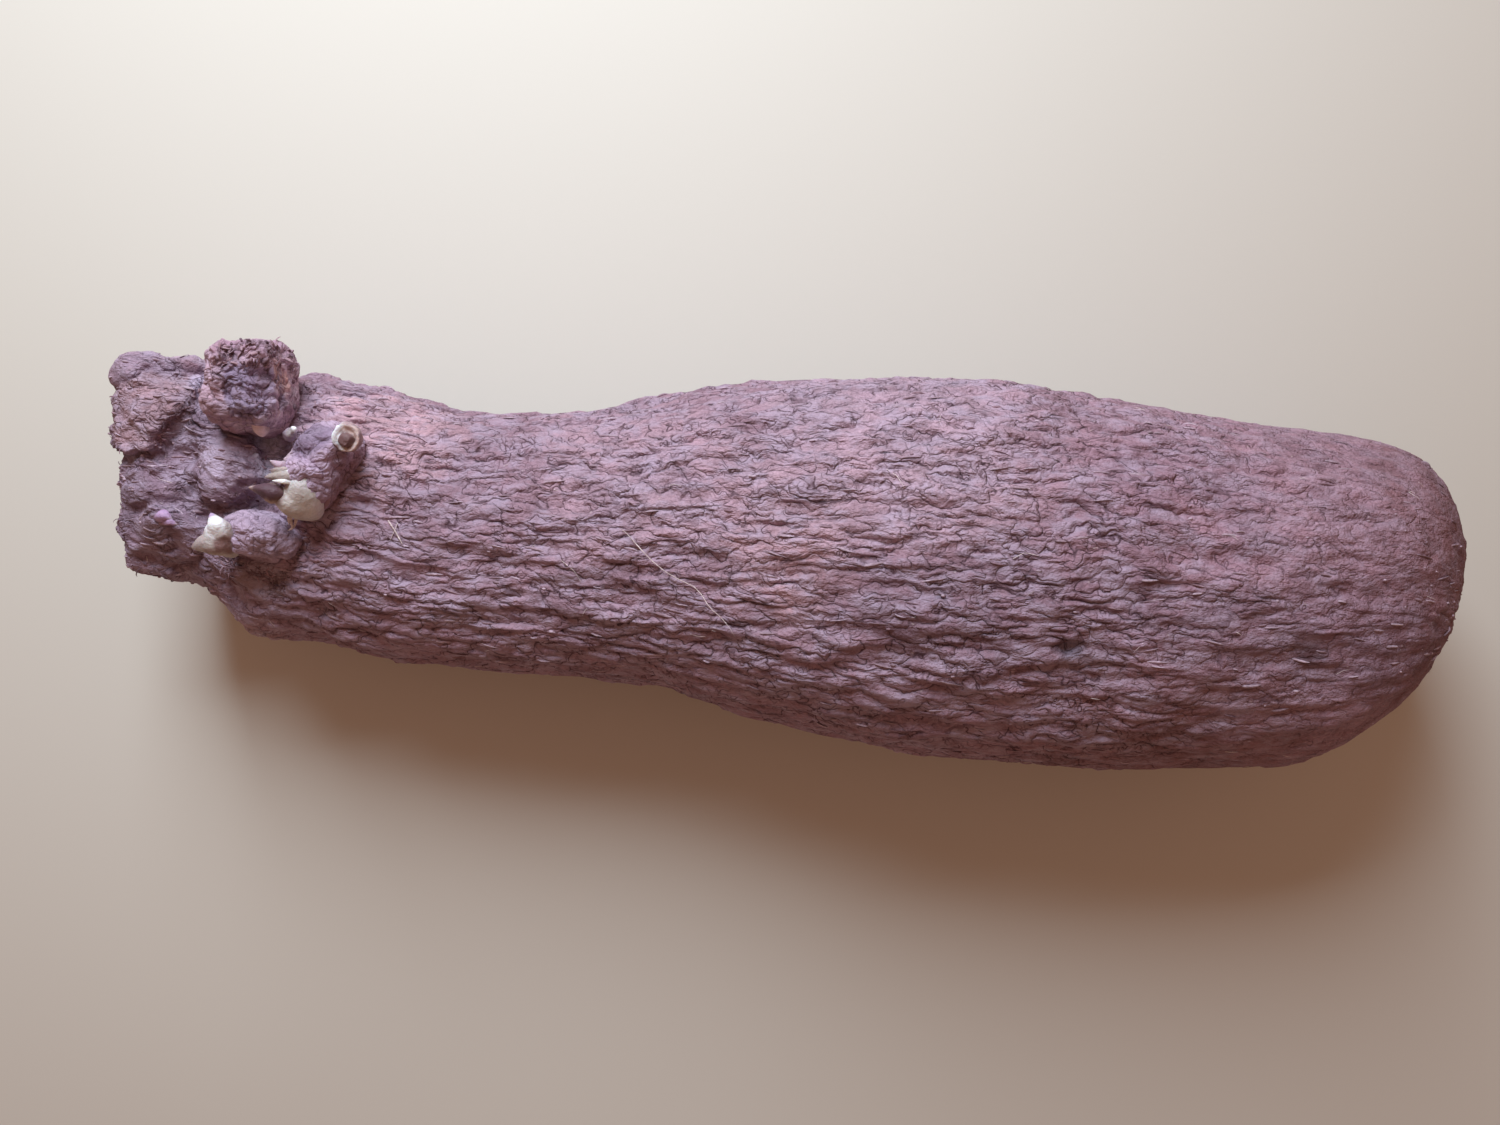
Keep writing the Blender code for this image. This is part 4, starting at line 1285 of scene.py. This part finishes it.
# %% Small buds
white_shape = grown(
    (((289, 437, 71), (290, 433, 78.6)), 1.9, 1.9, 22, 18, 0.60, 2.2),
    (((290, 433, 75.5), (296, 428, 79.6)), 1.2, 1.0, 16, 14, 0.55, 2.0))
white_bud = fuse("white_bud", white_shape, 5, 0.4, 1.4)
paint_tints(white_bud.data, (0.330, 0.260, 0.320), {
    "white_tip": ((296, 428), 79.4, 2.0, (0.960, 0.940, 0.990), 1.0),
    "green_side": ((291, 433), 78.5, 1.3, (0.400, 0.350, 0.340), 0.8),
}, {})
hand_over(white_bud, skin_flesh, "bud_cream", "bud_white")

bud_shape = grown(
    (((155, 519, 71.5), (163, 515, 74.6), (173, 520, 74.2)), 1.8, 1.1, 20, 18, 0.42, 1.6, 0.3),
    (((160, 522, 72), (169, 521, 74.4), (178, 525, 73.6)), 1.1, 0.6, 16, 16, 0.45, 1.4))
pink_bud = make_object("pink_bud", bud_shape)
paint_spindle(pink_bud.data, (0.30, 0.18, 0.27), (0.52, 0.34, 0.56), (0.56, 0.44, 0.48), (0.46, 0.28, 0.48))
hand_over(pink_bud, skin_flesh, "bud_pink", "bud_pink")

peach_shape = grown((((260, 408, 75), (260, 421, 79.2), (263, 438, 77.6)), 2.4, 2.4, 24, 20, 0.50, 3.2))
peach_bud = make_object("peach_bud", peach_shape)
paint_spindle(peach_bud.data, (0.42, 0.30, 0.32), (0.92, 0.74, 0.76), (0.95, 0.76, 0.76), (0.64, 0.47, 0.49))
hand_over(peach_bud, skin_flesh, "bud_peach", "bud_peach")

# %% [markdown]
# ## Fibres, torn bark and crumbs
# Dry bark frays. Thin lips of it stand up beside the creases, short fibres hang from the stump's torn
# top and from the crown's lower edge, and a few root hairs lie on the skin. Each is a spindle with few
# faces. They are placed on the finished surface: a ray from the camera finds the place that a pixel of
# the photograph shows, and for the sides that the photograph hides, points of the skin are drawn at
# random from a fixed seed.

# %% Find places on the finished surface


def finished_tree(*pieces):
    """A tree for rays onto finished pieces."""
    shape = bmesh.new()
    for piece in pieces:
        shape.from_mesh(piece.data)
    tree = BVHTree.FromBMesh(shape)
    shape.free()
    return tree


yam_tree = finished_tree(skin, stump, forked_knob, low_knob)


def on_yam(px, py, lift=0.0):
    """The point of the finished surface that a pixel shows, lifted by millimetres, or None off the yam."""
    way = (seen(px, py, 0.0) - CAMERA_AT).normalized()
    spot, normal, _, _ = yam_tree.ray_cast(CAMERA_AT, way)
    return spot + normal * lift * MM if spot is not None else None


def near_yam(point, lift=0.0):
    """The nearest point of the finished surface and its normal, lifted by millimetres."""
    spot, normal, _, _ = yam_tree.find_nearest(point)
    return spot + normal * lift * MM, normal


skin_places, skin_normals = places_of(skin.data), normals_of(skin.data)


def any_skin_point(draws):
    """A random point of the skin and its normal."""
    index = draws.randrange(len(skin_places))
    return Vector(skin_places[index]), Vector(skin_normals[index])


def along_skin(way, normal):
    """A direction turned so that it runs along the skin."""
    return (way - normal * way.dot(normal)).normalized()


# %% Lips of torn bark
FRAY_FROM = 0.008           # lowest height of lips and crumbs, metres
LIP_COUNT = 900
LIP_LENGTH = (2.5, 8.0)
LIP_HALF_WIDTH = (0.25, 0.60)
lip_random = random.Random(41)
lip_shape = bmesh.new()
for _ in range(LIP_COUNT):
    spot, normal = any_skin_point(lip_random)
    if spot.z < FRAY_FROM or abs(normal.x) > 0.7:
        continue
    ahead = Vector((1, lip_random.uniform(-0.25, 0.25), lip_random.uniform(-0.25, 0.25)))
    ahead = along_skin(ahead, normal)
    length = lip_random.uniform(*LIP_LENGTH) * MM
    lift = lip_random.uniform(0.0, 0.35)
    path = [near_yam(spot + ahead * length * share, height)[0] for share, height in
            ((-0.5, -0.25), (-0.2, lift), (0.15, lift), (0.5, -0.25))]
    half_width, roll = lip_random.uniform(*LIP_HALF_WIDTH), lip_random.uniform(-70, 70)
    grow(lip_shape, path, half_width, 0.10, 5, 6, 0.45, 1.6, 0.0, roll)
lips = make_object("torn_bark_lips", lip_shape)

# %% Fibres of the stump and of the crown's lower edge
# name: pixels of the photo, count, length in mm, half width in mm, how far they stand up
FIBRE_LINES = {
    "stump_top": ([(213, 354), (230, 346), (262, 346), (292, 354)], 60, (1.2, 3.2), (0.30, 0.95), 0.25),
    "stump_inner": ([(220, 366), (235, 360), (262, 360), (284, 366)], 34, (1.2, 3.0), (0.25, 0.80), 0.30),
    "stump_right": ([(293, 362), (296, 385), (288, 404)], 14, (1.2, 3.0), (0.20, 0.60), 0.3),
    "stump_left": ([(214, 366), (215, 376)], 12, (1.2, 2.6), (0.20, 0.50), 0.4),
    "stump_face": ([(232, 388), (250, 402), (262, 410)], 26, (0.8, 2.2), (0.10, 0.25), 0.4),
    "crown_lower": ([(137, 566), (165, 583), (196, 590), (215, 592)], 50, (1.5, 4.0), (0.12, 0.40), 0.4),
    "crown_left": ([(116, 400), (118, 470), (120, 540)], 30, (1.0, 2.6), (0.10, 0.30), 0.3),
    "torn_plate": ([(204, 388), (190, 404), (174, 417), (163, 434), (153, 449)], 60, (1.0, 3.0),
                   (0.15, 0.45), 0.5),
    "peeled_layer": ([(262, 462), (257, 492), (240, 499), (229, 497)], 26, (0.8, 2.2), (0.15, 0.40), 0.4),
    "root_tuft": ([(226, 563), (237, 570)], 36, (1.5, 4.5), (0.10, 0.35), 0.7),
    "fibrous_patch": ([(252, 572), (288, 584)], 60, (1.5, 4.0), (0.10, 0.30), 0.35),
    "neck_flakes": ([(305, 388), (318, 396), (312, 420)], 26, (1.0, 3.0), (0.15, 0.50), 0.35),
}
fibre_random = random.Random(17)
fibre_shape = bmesh.new()
for line, count, lengths, half_widths, stand in FIBRE_LINES.values():
    for _ in range(count):
        pick = fibre_random.uniform(0, len(line) - 1.001)
        first, second = Vector(line[int(pick)]), Vector(line[int(pick) + 1])
        pixel = first.lerp(second, pick % 1.0)
        foot = on_yam(pixel.x + fibre_random.gauss(0, 3.5), pixel.y + fibre_random.gauss(0, 3.5))
        drift = Vector([fibre_random.uniform(-1, 1) for _ in range(3)])
        length = fibre_random.uniform(*lengths) * MM
        rise = fibre_random.uniform(0.0, stand)
        half_width, roll = fibre_random.uniform(*half_widths), fibre_random.uniform(-60, 60)
        if foot is None:
            continue
        _, normal = near_yam(foot)
        drift = along_skin(drift, normal)
        curl = normal.cross(drift) * fibre_random.uniform(-0.35, 0.35)
        path = [foot - normal * 0.3 * MM, foot + (drift * 0.35 + normal * rise * 0.6) * length,
                foot + (drift * 0.75 + curl + normal * rise * 0.8) * length,
                foot + (drift * 0.95 + curl * 2 + normal * rise * 0.2) * length]
        grow(fibre_shape, path, half_width, 0.09, 5, 6, 0.4, 1.8, 0.0, roll)
fibres = make_object("torn_fibres", fibre_shape)

# %% Root hairs and twigs
# name: pixels of the photo, half width in mm, lift in mm
HAIRS = {
    "long_hair": ([(618, 530), (630, 538), (642, 548), (654, 558), (665, 567), (681, 577), (697, 586), (703, 594),
                   (708, 602), (714, 610), (719, 617), (729, 627), (739, 638)], 0.14, 2.0),
    "twig": ([(388, 522), (396, 532), (404, 544)], 0.22, 0.9),
    "twig_side": ([(398, 524), (395, 531), (391, 540)], 0.12, 0.7),
    "neck_hair": ([(560, 560), (575, 571), (586, 590)], 0.09, 0.4),
    "middle_hair": ([(886, 470), (897, 476), (905, 488)], 0.09, 0.4),
    "far_hair": ([(1012, 560), (1024, 552), (1040, 556)], 0.09, 0.4),
}
HAIR_COUNT = 90             # short ones at random places
HAIRS_FROM = 0.012          # their lowest height, metres
hair_shape = bmesh.new()
for line, half_width, lift in HAIRS.values():
    path = [on_yam(px, py, lift) for px, py in line]
    grow(hair_shape, path, half_width, half_width, 6, 40, 0.1, 8.0)
for marks, half_width in ((((294, 510, 85.5), (290, 519, 85), (293, 528, 84), (287, 531, 83.5)), 0.55),
                          (((298, 510, 85.5), (296, 520, 85), (294, 529, 84)), 0.60),
                          (((292, 508, 85.5), (288, 518, 84.5), (289, 526, 83.8)), 0.40)):
    grow(hair_shape, through(*marks), half_width, 0.35, 8, 18, 0.2, 2.0)
hair_random = random.Random(29)
for _ in range(HAIR_COUNT):
    spot, normal = any_skin_point(hair_random)
    if spot.z < HAIRS_FROM:
        continue
    drift = along_skin(Vector([hair_random.uniform(-reach, reach) for reach in (1, 0.5, 0.5)]), normal)
    length = hair_random.uniform(2.0, 6.0) * MM
    path = [spot - normal * 0.3 * MM, near_yam(spot + drift * length * 0.5, 0.35)[0],
            near_yam(spot + drift * length, 0.2 + hair_random.uniform(0, 0.8))[0]]
    grow(hair_shape, path, hair_random.uniform(0.05, 0.10), 0.06, 5, 6, 0.2, 2.0)
hairs = make_object("root_hairs", hair_shape)

# %% Crumbs of bark
CRUMB_COUNT = 700
CRUMB_RADIUS = (0.18, 0.5)                              # mm
CRUMB_STRETCH = ((1.0, 2.2), (0.6, 1.1), (0.5, 0.9))    # along x, y and z
crumb_random = random.Random(53)
crumb_shape = bmesh.new()
for _ in range(CRUMB_COUNT):
    spot, _ = any_skin_point(crumb_random)
    if spot.z < FRAY_FROM:
        continue
    radius = crumb_random.uniform(*CRUMB_RADIUS) * MM
    made = bmesh.ops.create_icosphere(crumb_shape, subdivisions=1, radius=radius)["verts"]
    stretch = Vector([crumb_random.uniform(*limits) for limits in CRUMB_STRETCH])
    bmesh.ops.scale(crumb_shape, verts=made, vec=stretch)
    bmesh.ops.translate(crumb_shape, verts=made, vec=spot)
crumbs = make_object("bark_crumbs", crumb_shape)

# %% Material of frayed bark


def make_fray(name, dark, pale):
    """Dry fibre: a dark and a pale colour in slow patches, uneven from place to place."""
    made, tree, shader = new_material(name, 0.85, 0.2)
    place = object_place(tree)
    share = ramp(tree, clouds(tree, place, (9, 5, 5), 2.0), 0.35, 0.65)
    colour = blend_colours(tree, share, (*dark, 1.0), (*pale, 1.0))
    colour = use_group(tree, MOTTLE, color=colour, place=place, patch=0.1, grain=0.2, specks=0.0)
    tree.links.new(colour, shader.inputs["Base Color"])
    bump(tree, clouds(tree, place, (0.9, 0.5, 0.5), 2.0), shader, 0.4)
    return made


frayed_bark = make_fray("frayed_bark", (0.270, 0.165, 0.200), (0.520, 0.390, 0.470))
torn_fibre = make_fray("torn_fibre", (0.170, 0.105, 0.135), (0.440, 0.280, 0.330))
root_hair = make_fray("root_hair", (0.600, 0.480, 0.480), (0.860, 0.740, 0.740))
hand_over(lips, frayed_bark, "tuber_skin")
hand_over(crumbs, frayed_bark, "tuber_skin")
hand_over(fibres, torn_fibre, "stump_wood")
hand_over(hairs, root_hair, "tuber_skin")
